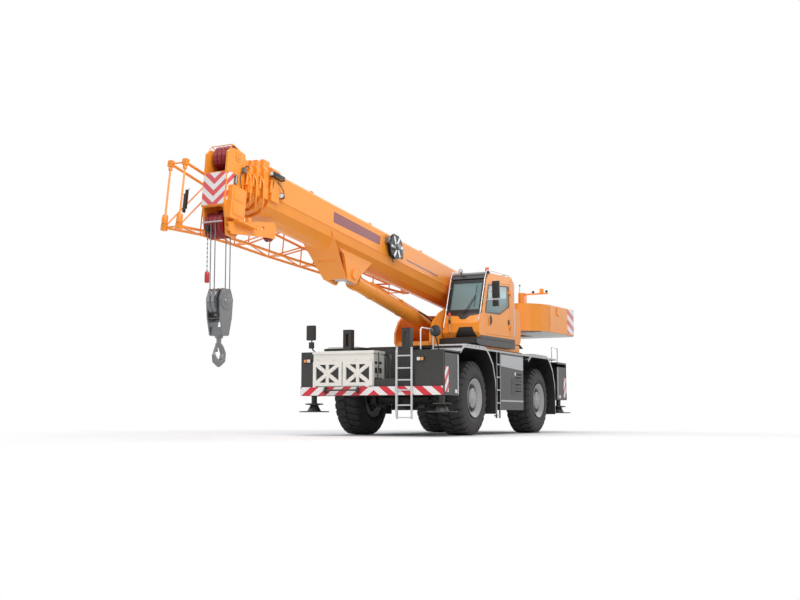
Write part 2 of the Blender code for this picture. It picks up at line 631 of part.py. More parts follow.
def cab(upper):
    """Cab on its black base: hollow shell, hinged door with a window, front glass and seat."""
    wall = 0.05
    base = prism([(-1.52, 2.20), (-1.52, CAB_FLOOR - SKIN), (0.80, CAB_FLOOR - SKIN), (0.80, 2.16),
                  (-1.30, 2.16)], "x", PLATE_OUT + SKIN, CAB_U1 - 0.01)
    node("cab_base", "dark", [base], [rod((0, 0, 2), (0, 0, 3), 1.0805, 28)], parent=upper)
    shell = prism(CAB_SIDE, "x", CAB_U0, CAB_U1)
    inside = prism(inset(CAB_SIDE, wall), "x", CAB_U0 + wall, CAB_U1 - wall)
    cuts = [inside, prism(DOOR, "x", 1.40, 1.60),
            block((CAB_U0 + 0.07, CAB_U1 - 0.07), (-1.6, -0.6), (3.00, 3.76)),
            prism([(-0.95, 2.95), (-0.75, 3.70), (0.45, 3.75), (0.45, 2.95)], "x", 0.50, 0.62),
            block((CAB_U0 + 0.12, CAB_U1 - 0.12), (0.65, 0.85), (3.0, 3.66))]
    leaves, pins = [], []
    for z in (2.62, 3.50):
        low = z + 0.06 + SKIN
        leaves += [block((1.50, CAB_U1 + 0.012), (0.46, 0.50), (z, z + 0.06)),
                   rod((CAB_U1 + 0.02, 0.455, z), (CAB_U1 + 0.02, 0.455, z + 0.06), 0.014, 8)]
        pins += [block((CAB_U1 - 0.02, CAB_U1 + 0.012), (0.36, 0.43), (low, low + 0.06)),
                 block((CAB_U1 + SKIN, CAB_U1 + 0.012), (0.42, 0.455), (low, low + 0.06)),
                 rod((CAB_U1 + 0.02, 0.455, low), (CAB_U1 + 0.02, 0.455, low + 0.06), 0.014, 8)]
    node("cab_shell", "orange", [shell, *leaves], cuts, parent=upper)
    hinge = frame("cab_door_hinge", (CAB_U1 + 0.02, 0.455, 2.45), upper)
    leaf = prism(inset(DOOR, 0.006), "x", CAB_U1 - wall, CAB_U1)
    handle = block((CAB_U1 - 0.01, CAB_U1 + 0.02), (-0.86, -0.83), (2.66, 2.86))
    door_node = node("cab_door", "orange", [leaf, handle, *pins], [prism(DOOR_WINDOW, "x", 1.4, 1.6)],
                     parent=hinge)
    door_node.location = (-CAB_U1 - 0.02, -0.455, -2.45)
    pane = prism(inset(DOOR_WINDOW, SKIN), "x", CAB_U1 - 0.03, CAB_U1 - 0.02)
    pane_node = node("cab_door_glass", "glass", [pane], parent=hinge)
    pane_node.location = door_node.location
    (v_low, z_low), (v_high, z_high) = CAB_SIDE[3], CAB_SIDE[4]
    slope = (v_high - v_low) / (z_high - z_low)
    z0, z1 = 3.00 + SKIN, 3.76 - SKIN
    v0, v1 = v_low + slope * (z0 - z_low) + 0.02, v_low + slope * (z1 - z_low) + 0.02
    glass = prism([(v0, z0), (v0 + 0.01, z0), (v1 + 0.01, z1), (v1, z1)], "x",
                  CAB_U0 + 0.07 + SKIN, CAB_U1 - 0.07 - SKIN)
    node("cab_front_glass", "glass", [glass], parent=upper)
    floor = CAB_FLOOR + wall + SKIN
    seat = [prism([(-0.32, 2.74), (-0.32, 2.86), (0.10, 2.84), (0.16, 3.48), (0.26, 3.52), (0.30, 2.74)],
                  "x", 0.80, 1.28),
            block((0.92, 1.16), (-0.18, 0.16), (floor, 2.76)),
            block((0.74, 0.82), (-0.28, 0.20), (2.80, 3.00)),
            block((1.26, 1.34), (-0.28, 0.20), (2.80, 3.00))]
    node("cab_seat", "seat", seat, parent=upper)


# Boom
def section(half, top, bottom, waist, sides=6):
    """Boom cross-section as (u, h) points: flat sides and top, round belly."""
    points = [(half, top - 0.05), (half - 0.05, top), (-half + 0.05, top), (-half, top - 0.05),
              (-half, waist)]
    for i in range(1, sides):
        a = math.pi * i / sides
        points.append((-half * math.cos(a), waist - (waist - bottom) * math.sin(a)))
    points.append((half, waist))
    return points


def boom_outline(step):
    """Outer cross-section of boom section number step, 0 for the base section."""
    d = step * STEP
    return section(BOOM_HALF - d, BOOM_TOP - d, BOOM_BOTTOM + d, BOOM_WAIST)


def boom_inside(step):
    d = step * STEP + WALL
    return section(BOOM_HALF - d, BOOM_TOP - d, BOOM_BOTTOM + d, BOOM_WAIST)


def slack(outline):
    """The outline grown by the running clearance between two boom sections."""
    return inset(outline, -0.0006)


def boom_tube(step, back, front):
    return prism(boom_outline(step), "y", -front, -back)


def boom_sections(boom):
    """Base section and three telescoping ones, each with its end collar, ears on top and wear-pad ribs."""
    # Columns: name, step, rear end s, front end s, collar length, collar's stand-out, top of the ears h
    table = [("boom_base_section", 0, -0.28, 10.45, 0.26, 0.045, 0.70),
             ("boom_section_2", 1, 0.30, 10.66, 0.16, 0.050, 0.62),
             ("boom_section_3", 2, 0.34, 10.84, 0.13, 0.055, 0.55),
             ("boom_section_4", 3, 0.38, 11.01, 0.12, 0.060, 0.50)]
    for name, step, back, front, collar, grow, ears in table:
        adds = [boom_tube(step, back, front)]
        d = step * STEP - grow
        adds.append(prism(section(BOOM_HALF - d, BOOM_TOP - d, BOOM_BOTTOM + d, BOOM_WAIST), "y",
                          -front, -front + collar))
        for u in (-0.24, -0.05, 0.14):
            adds.append(block((u, u + 0.09), (-front, -front + collar * 0.8), (BOOM_TOP - d - 0.01, ears)))
        adds += both(block((BOOM_HALF - d - 0.01, BOOM_HALF - d + 0.02), (-front, -front + collar),
                           (-0.16, 0.06)))
        cuts = [prism(boom_inside(step), "y", -front + 0.08, -back + 1),
                prism(slack(boom_outline(step + 1)), "y", -front - 1, -front + 0.09)]
        if step == 0:
            more, less = base_fittings()
            adds += more
            cuts += less
        node(name, "orange", adds, cuts, parent=boom)


def base_fittings():
    """The base section's eye plates, pin caps, jib brackets and side lamps, and the bore of its foot."""
    plate = prism([(-8.14, -0.10), (-7.36, -0.42), (-7.14, -0.93), (-6.78, -0.95), (-6.62, -0.72),
                   (-6.16, -0.32), (-6.10, -0.10)], "x", EYE_PLATE_IN, EYE_PLATE_IN + 0.06)
    adds = [*both(plate)]
    adds.append(block((-EYE_PLATE_IN - 0.01, EYE_PLATE_IN + 0.01), (-7.60, -7.50), (-0.62, -0.30)))
    for s, h in ((9.6, -0.08), (3.2, -0.12)):
        adds.append(block((-JIB_IN + JIB_PIPE + SKIN, -0.40), (-s - 0.06, -s + 0.06), (h - 0.20, h + 0.12)))
    adds += [block((0.46, 0.55), (-10.44, -10.20), (0.31, 0.39)),
             rod((0.42, -10.08, 0.02), (0.52, -10.08, 0.02), 0.06, 10)]
    adds += both(rod((EYE_PLATE_IN + 0.05, -EYE_S, EYE_H), (EYE_PLATE_IN + 0.10, -EYE_S, EYE_H), 0.11, 12))
    return adds, [rod((-0.6, 0, 0), (0.6, 0, 0), bore(FOOT_PIN_R, 16), 16)]


def cable_reel(boom):
    """Spring reel for the hoist limit cable on the base section's left side."""
    u = BOOM_HALF + SKIN
    profile = [(0, u), (0.10, u), (0.10, u + 0.03), (0.28, u + 0.03), (0.28, u + 0.05), (0.21, u + 0.05),
               (0.21, u + 0.10), (0.28, u + 0.10), (0.28, u + 0.12), (0, u + 0.12)]
    node("cable_reel", "dark", [lathe(profile, (0, -5.57, 0.19), (1, 0, 0), 14)], parent=boom)


def boom_head(boom):
    """Fifth section with its head: cheeks, front plate, side box, catwalk, auxiliary arm and its sheave."""
    cheek = prism([(-11.035, 0.44), (-11.08, 0.57), (-11.30, 0.60), (-11.50, 0.57), (-11.60, 0.47),
                   (-11.59, 0.10), (-11.55, -0.20), (-11.55, -0.55), (-11.46, -0.86),
                   (-11.41, -1.09), (-11.18, -1.10),
                   (-11.08, -1.00), (-11.035, -0.60)], "x", CHEEK_IN, CHEEK_OUT)
    arm = prism([(-11.48, -0.86), (-10.06, -0.48), (-9.99, -0.56), (-9.99, -0.80), (-10.16, -0.82),
                 (-11.36, -1.06)], "x", ARM_U, ARM_U + 0.03)
    adds = [boom_tube(4, 0.42, 11.12), *both(cheek),
            block((-CHEEK_OUT, CHEEK_OUT), (-11.58, -11.54), (-0.55, 0.10)),
            block((-0.25, 0.25), (-11.12, -11.06), (-0.50, 0.10)),
            block((CHEEK_OUT - 0.01, 0.37), (-11.50, -11.06), (-0.78, -0.16)),
            block((CHEEK_OUT - 0.01, 0.46), (-11.34, -10.72), (-0.82, -0.78)),
            arm, rod((CHEEK_OUT - 0.01, -11.40, -0.97), (ARM_U + 0.03, -11.40, -0.97), 0.05, 10)]
    room = rod((-0.215, -HEAD_S, TOP_SHEAVE_H), (0.215, -HEAD_S, TOP_SHEAVE_H), TOP_SHEAVE_R + 0.02, 16)
    cuts = [prism(boom_inside(4), "y", -11.05, 1), room]
    for s, h in ((10.80, -0.80), (10.62, -0.75), (10.40, -0.69)):
        cuts.append(rod((ARM_U - 0.01, -s, h), (ARM_U + 0.05, -s, h), 0.045, 8))
    node("boom_head_section", "orange", adds, cuts, parent=boom)
    pin = rod((ARM_U - 0.13, -10.08, -0.72), (ARM_U - SKIN, -10.08, -0.72), 0.03, 10)
    disc = lathe([(0.02, ARM_U - 0.11), (0.15, ARM_U - 0.11), (0.115, ARM_U - 0.075), (0.15, ARM_U - 0.04),
                  (0.02, ARM_U - 0.04)], (0, -10.08, -0.72), (1, 0, 0), 14)
    node("auxiliary_sheave", "red", [disc, pin], parent=boom)


def grooved(radius, half, grooves):
    """Profile of rope sheaves side by side, as (radius, along) points with a V groove for each rope."""
    pitch = 2 * half / grooves
    profile = [(0.03, -half), (radius, -half)]
    for i in range(grooves):
        u = -half + i * pitch
        profile += [(radius - GROOVE, u + pitch / 2), (radius, u + pitch)]
    return profile + [(0.03, half)]


def sheave_pack(name, parent, centre, radius, half, grooves):
    """Sheaves on one pin that spans the head's cheeks."""
    pack = lathe(grooved(radius, half, grooves), centre, (1, 0, 0), 16)
    y, z = centre[1:]
    pin = rod((SKIN - CHEEK_IN, y, z), (CHEEK_IN - SKIN, y, z), 0.04, 10)
    node(name, "red", [pack, pin], parent=parent)


def lift_cylinder(upper):
    """Luffing cylinder: barrel on the turntable's lower pin, rod with its eye and pin under the boom."""
    c, s = math.cos(math.radians(BOOM_DEG)), math.sin(math.radians(BOOM_DEG))
    eye = Vector((0, PIVOT_V - (EYE_S * c - EYE_H * s), PIVOT_Z + EYE_S * s + EYE_H * c))
    foot = Vector((0, FOOT_V, FOOT_Z))
    way = (eye - foot).normalized()
    length = (eye - foot).length
    end = length - 0.42
    hole = bore(ROD_R, 20)
    pivot = frame("lift_cylinder_pivot", foot, upper)
    # Barrel profile: (radius, distance from the foot)
    barrel = lathe([(0, 0.06), (BARREL_R, 0.10), (BARREL_R, end - 0.16), (BARREL_R + 0.018, end - 0.16),
                    (BARREL_R + 0.018, end), (hole, end), (hole, 0.40), (0, 0.40)], (0, 0, 0), way, 20)
    knuckle = rod((-0.20, 0, 0), (0.20, 0, 0), 0.165, 16)
    node("lift_cylinder_barrel", "orange", [barrel, knuckle],
         [rod((-0.3, 0, 0), (0.3, 0, 0), bore(CYLINDER_PIN_R, 16), 16)], parent=pivot)
    rod_slide = frame("lift_cylinder_rod_frame", way * length, pivot)
    reach = EYE_PLATE_IN - SKIN
    shapes = [rod(way * (-length + 0.75), (0, 0, 0), ROD_R, 20),
              rod((-0.17, 0, 0), (0.17, 0, 0), 0.14, 16),
              rod((-reach, 0, 0), (reach, 0, 0), EYE_PIN_R, 12)]
    node("lift_cylinder_rod", "steel", shapes, parent=rod_slide)


def hook_set(boom):
    """Lower sheaves, rope falls, block and hook, plumb below the lower sheaves' pin.

    The falls leave the head's sheaves at the level of their pin and run into the block's own grooves.
    """
    hang = frame("hook_hang", (0, -HEAD_S, LOW_SHEAVE_H), boom, (math.radians(BOOM_DEG), 0, 0))
    sheave_pack("head_lower_sheaves", hang, (0, 0, 0), LOW_SHEAVE_R, FALL_PITCH * 2, 4)
    steep = math.atan2(FALL_PITCH / 2, GROOVE)
    fall_y = LOW_SHEAVE_R - GROOVE + ROPE_R / math.sin(steep) + SKIN
    drop = 1.43
    falls = []
    for u in (-FALL_PITCH / 2, FALL_PITCH / 2):
        for y in (-fall_y, fall_y):
            falls.append(rod((u, y, 0.004), (u, y, -drop - 0.03), ROPE_R, 10))
    sheaves = lathe(grooved(fall_y + GROOVE - 0.003, FALL_PITCH, 2), (0, 0, -drop), (1, 0, 0), 14)
    plate = prism([(-0.20, -drop + 0.05), (-0.12, -drop + 0.24), (0.12, -drop + 0.24), (0.20, -drop + 0.05),
                   (0.17, -drop - 0.30), (0.09, -drop - 0.62), (-0.09, -drop - 0.62),
                   (-0.17, -drop - 0.30)], "x", 0.13, 0.16)
    pin = rod((-0.17, 0, -drop), (0.17, 0, -drop), 0.05, 10)
    cross = block((-0.15, 0.15), (-0.08, 0.08), (-drop - 0.63, -drop - 0.47))
    tie = rod((-0.15, 0, -drop - 0.34), (0.15, 0, -drop - 0.34), 0.03, 8)
    node("hook_block", "steel", [sheaves, pin, *falls, *both(plate), cross, tie], parent=hang)
    swivel = frame("hook_swivel", (0, 0, -drop - 0.63), hang)
    # Hook from its shank round to the tip, as (y, z, radius)
    bend = [(0, -SKIN, 0.05), (0, -0.14, 0.045), (0.07, -0.21, 0.05), (0.13, -0.32, 0.055),
            (0.10, -0.45, 0.065), (0, -0.51, 0.07), (-0.10, -0.46, 0.06), (-0.14, -0.36, 0.04),
            (-0.12, -0.28, 0.015)]
    hook = tube([(0, y, z) for y, z, r in bend], [r for y, z, r in bend], 10)
    node("hook", "steel", [hook], parent=swivel)


def stowed_jib(boom):
    """Lattice jib stowed on the boom's right-hand side: four chords, posts, cross-bars and diagonals."""
    # Columns: s, lower h, upper h
    stations = [(11.75, -0.95, 0.30), (10.7, -0.80, 0.20), (9.6, -0.72, -0.02), (8.4, -0.66, -0.12),
                (7.2, -0.58, -0.14), (6.0, -0.50, -0.12), (4.6, -0.40, -0.08), (3.2, -0.28, -0.05)]
    adds = []
    for u in (-JIB_IN, -JIB_OUT):
        for row in (1, 2):
            ends = {0: 0.012, len(stations) - 1: -0.012}
            adds.append(chord([(u, -station[0] - ends.get(i, 0), station[row])
                               for i, station in enumerate(stations)]))
    thin = JIB_PIPE * 0.6
    for i, (s, low, high) in enumerate(stations):
        wide = JIB_PIPE * 0.95 if i == 0 else thin
        for u in (-JIB_IN, -JIB_OUT):
            adds.append(rod((u, -s, low), (u, -s, high), wide, 4))
        for h in (low, high):
            adds.append(rod((-JIB_IN, -s, h), (-JIB_OUT, -s, h), thin, 4))
    for (s0, low0, high0), (s1, low1, high1) in zip(stations, stations[1:]):
        for u in (-JIB_IN, -JIB_OUT):
            adds.append(rod((u, -s0, low0), (u, -s1, high1), thin, 4))
        adds.append(rod((-JIB_IN, -s0, low0), (-JIB_OUT, -s1, low1), thin, 4))
    for h in (-0.95, 0.30):
        for u in (-JIB_IN, -JIB_OUT):
            adds.append(block((u - 0.05, u + 0.05), (-11.79, -11.70), (h - 0.06, h + 0.06)))
    node("stowed_jib", "orange", adds, parent=boom)


def chord(points):
    """Six-sided pipe along nearly level points, a corner of its section towards each side."""
    bm = bmesh.new()
    rings = []
    for u, y, h in points:
        rings.append([bm.verts.new((u + JIB_PIPE * math.cos(math.pi * k / 3), y,
                                    h + JIB_PIPE * math.sin(math.pi * k / 3))) for k in range(6)])
    for first, second in zip(rings, rings[1:]):
        for k in range(6):
            j = (k + 1) % 6
            bm.faces.new((first[k], first[j], second[j], second[k]))
    bm.faces.new(list(reversed(rings[0])))
    bm.faces.new(rings[-1])
    bmesh.ops.recalc_face_normals(bm, faces=bm.faces)
    return bm


chassis_frame()
front_body()
rear_body()
deck("left_deck", 1)
deck("right_deck", -1)
side_boxes()
engine()
storage_box()
boom_rest()
front_ladder()
for end in (-1, 1):
    y = end * WHEELBASE / 2
    axle(("front" if end < 0 else "rear") + "_axle", y)
    for side in (1, -1):
        wheel(end, side, y)
        outrigger(end, side)
slew_ring()
upper_frame = frame("slew_frame", (0, 0, 0), None, (0, 0, math.radians(SLEW_DEG)))
turntable(upper_frame)
counterweight(upper_frame)
winch("main_winch", upper_frame, 2.75)
winch("auxiliary_winch", upper_frame, 3.70)
cab(upper_frame)
boom_frame = frame("boom_frame", (0, PIVOT_V, PIVOT_Z), upper_frame, (-math.radians(BOOM_DEG), 0, 0))
boom_sections(boom_frame)
boom_head(boom_frame)
sheave_pack("head_top_sheaves", boom_frame, (0, -HEAD_S, TOP_SHEAVE_H), TOP_SHEAVE_R, 0.15, 3)
cable_reel(boom_frame)
lift_cylinder(upper_frame)
hook_set(boom_frame)
stowed_jib(boom_frame)


def stand_on_origin():
    """Put the middle of the underside of the whole crane's box on the world's origin."""
    bpy.context.view_layer.update()
    points = [o.matrix_world @ v.co for o in bpy.data.objects if o.type == "MESH" for v in o.data.vertices]
    low = Vector(min(p[i] for p in points) for i in range(3))
    high = Vector(max(p[i] for p in points) for i in range(3))
    shift = Vector(((low.x + high.x) / 2, (low.y + high.y) / 2, low.z))
    for o in bpy.data.objects:
        if o.parent is None:
            o.location -= shift
    bpy.context.view_layer.update()


stand_on_origin()
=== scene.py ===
# %% [markdown]
# # Dressing a rough terrain crane
# The construction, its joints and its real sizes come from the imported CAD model. This notebook gives
# it its finish: paint, rubber, metal and glass, and the small fittings that a look needs and a
# mechanism does not. Everything is in metres and in the frame of the CAD model.

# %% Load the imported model
import json
import math

import bmesh
import bpy
from mathutils import Matrix, Vector


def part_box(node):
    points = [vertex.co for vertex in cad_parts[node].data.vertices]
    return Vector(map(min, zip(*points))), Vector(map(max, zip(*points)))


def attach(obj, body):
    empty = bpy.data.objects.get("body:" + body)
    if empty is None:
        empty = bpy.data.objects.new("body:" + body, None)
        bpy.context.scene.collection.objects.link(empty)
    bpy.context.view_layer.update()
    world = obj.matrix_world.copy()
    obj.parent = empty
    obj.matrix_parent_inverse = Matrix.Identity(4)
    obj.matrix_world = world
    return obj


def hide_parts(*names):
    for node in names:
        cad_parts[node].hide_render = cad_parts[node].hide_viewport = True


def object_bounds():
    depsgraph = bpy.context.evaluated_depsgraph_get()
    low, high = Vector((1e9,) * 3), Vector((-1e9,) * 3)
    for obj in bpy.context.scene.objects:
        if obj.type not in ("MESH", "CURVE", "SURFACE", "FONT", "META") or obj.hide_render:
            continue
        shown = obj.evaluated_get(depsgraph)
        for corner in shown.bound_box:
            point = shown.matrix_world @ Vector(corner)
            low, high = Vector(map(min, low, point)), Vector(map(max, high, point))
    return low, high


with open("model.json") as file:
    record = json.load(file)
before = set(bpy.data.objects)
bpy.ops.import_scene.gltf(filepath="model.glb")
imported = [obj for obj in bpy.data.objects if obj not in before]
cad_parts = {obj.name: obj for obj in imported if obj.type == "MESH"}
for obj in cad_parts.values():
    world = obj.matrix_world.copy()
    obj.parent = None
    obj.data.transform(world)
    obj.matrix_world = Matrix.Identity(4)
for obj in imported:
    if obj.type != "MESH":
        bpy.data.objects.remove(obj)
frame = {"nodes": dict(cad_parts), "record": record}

cad_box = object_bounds()
nodes = frame["nodes"]
print("CAD nodes:", len(nodes), "box:", [round(v, 3) for corner in cad_box for v in corner])

# %% [markdown]
# ## Three frames of reference
# A crane turns on its ring and its boom turns on a pin, so nothing on the upper works is square to
# the world. Two matrices solve that once: places on the upper works and on the boom are then
# written in plain left, forward and up numbers. A seat is a moving body with the frame in which the
# numbers of the pieces on it are written.

# %% The upper works' frame and the boom's frame, and the seats
SLEW, LUFF = math.radians(-3.494), math.radians(7.291)
BOOM_PIN = (0, 1.75, 3.40)
ring_low, ring_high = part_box("slew_ring")
SLEW_AXIS = Vector(((ring_low.x + ring_high.x) / 2, (ring_low.y + ring_high.y) / 2, 0))
CARRIER = Matrix.Translation(SLEW_AXIS)
UPPER = CARRIER @ Matrix.Rotation(SLEW, 4, "Z")
BOOM = UPPER @ Matrix.Translation(BOOM_PIN) @ Matrix.Rotation(-LUFF, 4, "X")
ON_CARRIER, ON_UPPER, ON_DOOR = ("carrier", CARRIER), ("upper", UPPER), ("cab_door", UPPER)
ON_BOOM, ON_HEAD = ("boom", BOOM), ("boom_head", BOOM)
print("slew axis at", [round(v, 4) for v in SLEW_AXIS])

# %% [markdown]
# ## Camera
# The photographer stood low, about knee height, in front of the crane's left-hand corner, and
# tilted the camera a little upwards. Its place was worked out from the wheels and body corners, so
# it is written as numbers and not framed by eye.

# %% Camera
YAW, PITCH, ROLL = math.radians(25.319), math.radians(5.796), math.radians(0.077)
forward = Vector((-math.sin(YAW) * math.cos(PITCH), math.cos(YAW) * math.cos(PITCH), math.sin(PITCH)))
camera_data = bpy.data.cameras.new("camera")
camera_data.lens = 51.308
camera_data.sensor_width = 36
camera_data.clip_end = 300
camera = bpy.data.objects.new("camera", camera_data)
camera.rotation_mode = "QUATERNION"
camera.location = SLEW_AXIS + Vector((11.44032, -27.10656, 0.45312))
roll = Matrix.Rotation(ROLL, 3, "Z").to_quaternion()
camera.rotation_quaternion = forward.to_track_quat("-Z", "Y") @ roll
bpy.context.scene.collection.objects.link(camera)
bpy.context.scene.camera = camera

# %% [markdown]
# ## Wiring nodes
# World, materials and shapes are all trees of nodes. One helper makes a node, sets its options and
# fills its inputs, each with a plain value or with a link from another node's output.

# %% Helpers for every kind of node tree
def fill(tree, node, inputs):
    """Fill a node's inputs, named or numbered, with plain values or with links."""
    for key, value in inputs.items():
        if isinstance(value, bpy.types.NodeSocket):
            tree.links.new(value, node.inputs[key])
        else:
            node.inputs[key].default_value = value


def add_node(tree, kind, inputs=None, **options):
    """A new node; its kind may leave out ShaderNode or GeometryNode, as the tree tells which."""
    prefix = {"SHADER": "ShaderNode", "GEOMETRY": "GeometryNode"}[tree.type]
    made = tree.nodes.new(kind if "Node" in kind else prefix + kind)
    for option, value in options.items():
        setattr(made, option, value)
    fill(tree, made, inputs or {})
    return made


def math_node(tree, operation, *values, clamp=False):
    """The result of a Math node whose inputs are sockets or numbers."""
    inputs = dict(enumerate(values))
    return add_node(tree, "Math", inputs, operation=operation, use_clamp=clamp).outputs[0]


def mix_colour(tree, factor, a, b, blend="MIX"):
    """The result of a Mix node between two colours."""
    inputs = {"Factor": factor, "A": a, "B": b}
    return add_node(tree, "Mix", inputs, data_type="RGBA", blend_type=blend).outputs["Result"]


def along(tree, source, direction):
    """How far a place lies along a direction."""
    made = add_node(tree, "VectorMath", {0: source, 1: direction}, operation="DOT_PRODUCT")
    return made.outputs["Value"]


def object_place(tree):
    """The place of a shaded point in its object's own frame."""
    return add_node(tree, "TexCoord").outputs["Object"]


def in_view(tree):
    """1 for a ray from the camera, straight, mirrored or through glass, and 0 for light."""
    rays = add_node(tree, "LightPath").outputs
    direct = math_node(tree, "MAXIMUM", rays["Is Camera Ray"], rays["Is Transmission Ray"])
    return math_node(tree, "MAXIMUM", direct, rays["Is Glossy Ray"])


def new_material(name):
    """A material, its tree and its Principled shader."""
    made = bpy.data.materials.new(name)
    made.use_nodes = True
    return made, made.node_tree, made.node_tree.nodes["Principled BSDF"]


# %% [markdown]
# ## Floor and light
# The floor is a pale studio sweep that reads as white to the camera and still takes the shadow.
# Large area lamps give soft edges on the paint; a plain world fills what they leave.

# %% World, floor and lamps
bpy.context.scene.view_settings.view_transform = "Standard"
world = bpy.data.worlds.new("studio")
bpy.context.scene.world = world
world.use_nodes = True
tree = world.node_tree
sky = tree.nodes["Background"]
fill(tree, sky, {"Color": (0.90, 0.93, 1.0, 1), "Strength": 0.44})
white = add_node(tree, "Background", {"Color": (1, 1, 1, 1), "Strength": 1.0})
mix = add_node(tree, "MixShader", {"Fac": in_view(tree), 1: sky.outputs[0], 2: white.outputs[0]})
fill(tree, tree.nodes["World Output"], {"Surface": mix.outputs[0]})


def lamp(name, place, target, size, watts, colour=(1, 1, 1)):
    """A rectangular area lamp at place that faces target, both from the slew axis."""
    data = bpy.data.lights.new(name, "AREA")
    data.shape = "RECTANGLE"
    data.size, data.size_y = size
    data.energy = watts
    data.color = colour
    made = bpy.data.objects.new(name, data)
    made.location = SLEW_AXIS + Vector(place)
    made.rotation_mode = "QUATERNION"
    made.rotation_quaternion = (Vector(target) - Vector(place)).to_track_quat("-Z", "Y")
    bpy.context.scene.collection.objects.link(made)


lamp("key_lamp", (9, -14, 13), (0, -2, 2), (12, 9), 1750, (1.0, 0.98, 0.95))
lamp("top_lamp", (-2, -2, 17), (0, -1, 0), (16, 18), 1500)
lamp("side_lamp", (-15, -9, 8), (0, -3, 2.5), (9, 9), 520, (0.95, 0.97, 1.0))
lamp("back_lamp", (6, 16, 9), (0, 0, 2.5), (12, 8), 600)

FLOOR_HALF, FLOOR_GAP, FADE_START, FADE_END = 60, 0.0005, 6.0, 12.5
floor_mesh = bpy.data.meshes.new("floor")
floor_corners = [(x * FLOOR_HALF, y * FLOOR_HALF, 0) for x, y in ((-1, -1), (1, -1), (1, 1), (-1, 1))]
floor_mesh.from_pydata(floor_corners, [], [(0, 1, 2, 3)])
floor = bpy.data.objects.new("floor", floor_mesh)
floor.location = (0, 0, cad_box[0].z - FLOOR_GAP)
bpy.context.scene.collection.objects.link(floor)
floor_material, tree, shader = new_material("pale_floor")
fill(tree, shader, {"Base Color": (0.86, 0.86, 0.86, 1), "Roughness": 0.75, "Specular IOR Level": 0.2})
distance = add_node(tree, "VectorMath", {0: object_place(tree)}, operation="LENGTH").outputs["Value"]
fade = add_node(tree, "MapRange", {"Value": distance, "From Min": FADE_START, "From Max": FADE_END},
                interpolation_type="SMOOTHSTEP")
visible = math_node(tree, "MULTIPLY", in_view(tree), fade.outputs[0])
glow = add_node(tree, "Emission")
edge = add_node(tree, "MixShader", {"Fac": visible, 1: shader.outputs[0], 2: glow.outputs[0]})
fill(tree, tree.nodes["Material Output"], {"Surface": edge.outputs[0]})
floor_mesh.materials.append(floor_material)

# %% [markdown]
# ## Shared effects
# Paint, rubber and bare metal all need the same three things: a little unevenness of tone, dust
# that settles low down, and a fine surface texture. Two node groups give them and are built once;
# every material then sets its own amounts.

# %% A new shader node group
def group(name, inputs, outputs):
    """A node group with its input and output nodes; inputs are rows of name, kind and value."""
    made = bpy.data.node_groups.new(name, "ShaderNodeTree")
    kinds = {"float": "NodeSocketFloat", "colour": "NodeSocketColor", "vector": "NodeSocketVector"}
    for label, kind, value in inputs:
        made.interface.new_socket(label, in_out="INPUT", socket_type=kinds[kind]).default_value = value
    for label, kind in outputs:
        made.interface.new_socket(label, in_out="OUTPUT", socket_type=kinds[kind])
    return made, made.nodes.new("NodeGroupInput").outputs, made.nodes.new("NodeGroupOutput")


# %% Weathered tone: mottled colour with dust low down
weather, start, end = group("weathered_tone",
                            [("Colour", "colour", (0.5, 0.5, 0.5, 1)), ("Mottle", "float", 0.12),
                             ("Dust", "float", 0.25), ("Dust height", "float", 1.2)],
                            [("Colour", "colour"), ("Dust mask", "float")])
DUST = (0.30, 0.26, 0.21, 1)
place = object_place(weather)
broad = add_node(weather, "TexNoise", {"Detail": 5, "Scale": 1.6, "Vector": place})
shade = math_node(weather, "SUBTRACT", broad.outputs[0], 0.5)
shade = math_node(weather, "MULTIPLY", shade, start["Mottle"])
shade = math_node(weather, "ADD", shade, 1.0)
grey = add_node(weather, "CombineColor", {0: shade, 1: shade, 2: shade})
tone = mix_colour(weather, 1.0, start["Colour"], grey.outputs[0], "MULTIPLY")
height = add_node(weather, "SeparateXYZ", {0: place}).outputs["Z"]
level = math_node(weather, "DIVIDE", height, start["Dust height"])
level = math_node(weather, "SUBTRACT", 1.0, level, clamp=True)
fine = add_node(weather, "TexNoise", {"Detail": 8, "Scale": 14, "Vector": place})
speckle = math_node(weather, "MULTIPLY", fine.outputs[0], 1.4)
dust = math_node(weather, "MULTIPLY", level, speckle)
dust = math_node(weather, "MULTIPLY", dust, start["Dust"], clamp=True)
fill(weather, end, {"Colour": mix_colour(weather, dust, tone, DUST), "Dust mask": dust})

# %% Surface grain: a fine height for Bump and a roughness that varies with it
grain, start, end = group("surface_grain", [("Scale", "float", 40.0), ("Roughness", "float", 0.4)],
                          [("Height", "float"), ("Roughness", "float")])
ROUGHNESS_SPREAD = 0.1
noise = add_node(grain, "TexNoise", {"Detail": 6, "Scale": start["Scale"], "Vector": object_place(grain)})
vary = math_node(grain, "SUBTRACT", noise.outputs[0], 0.5)
vary = math_node(grain, "MULTIPLY", vary, ROUGHNESS_SPREAD)
vary = math_node(grain, "ADD", vary, start["Roughness"], clamp=True)
fill(grain, end, {"Height": noise.outputs[0], "Roughness": vary})

# %% [markdown]
# ## Materials
# One function wires the two groups into a Principled shader, since every finish here is a tone with
# a grain. The table below it is the whole paint shop: the columns are the finish's name, its
# colour, roughness, metallic share, coat, grain scale, bump height in metres, mottle, dust and how
# high up the machine the dust reaches.

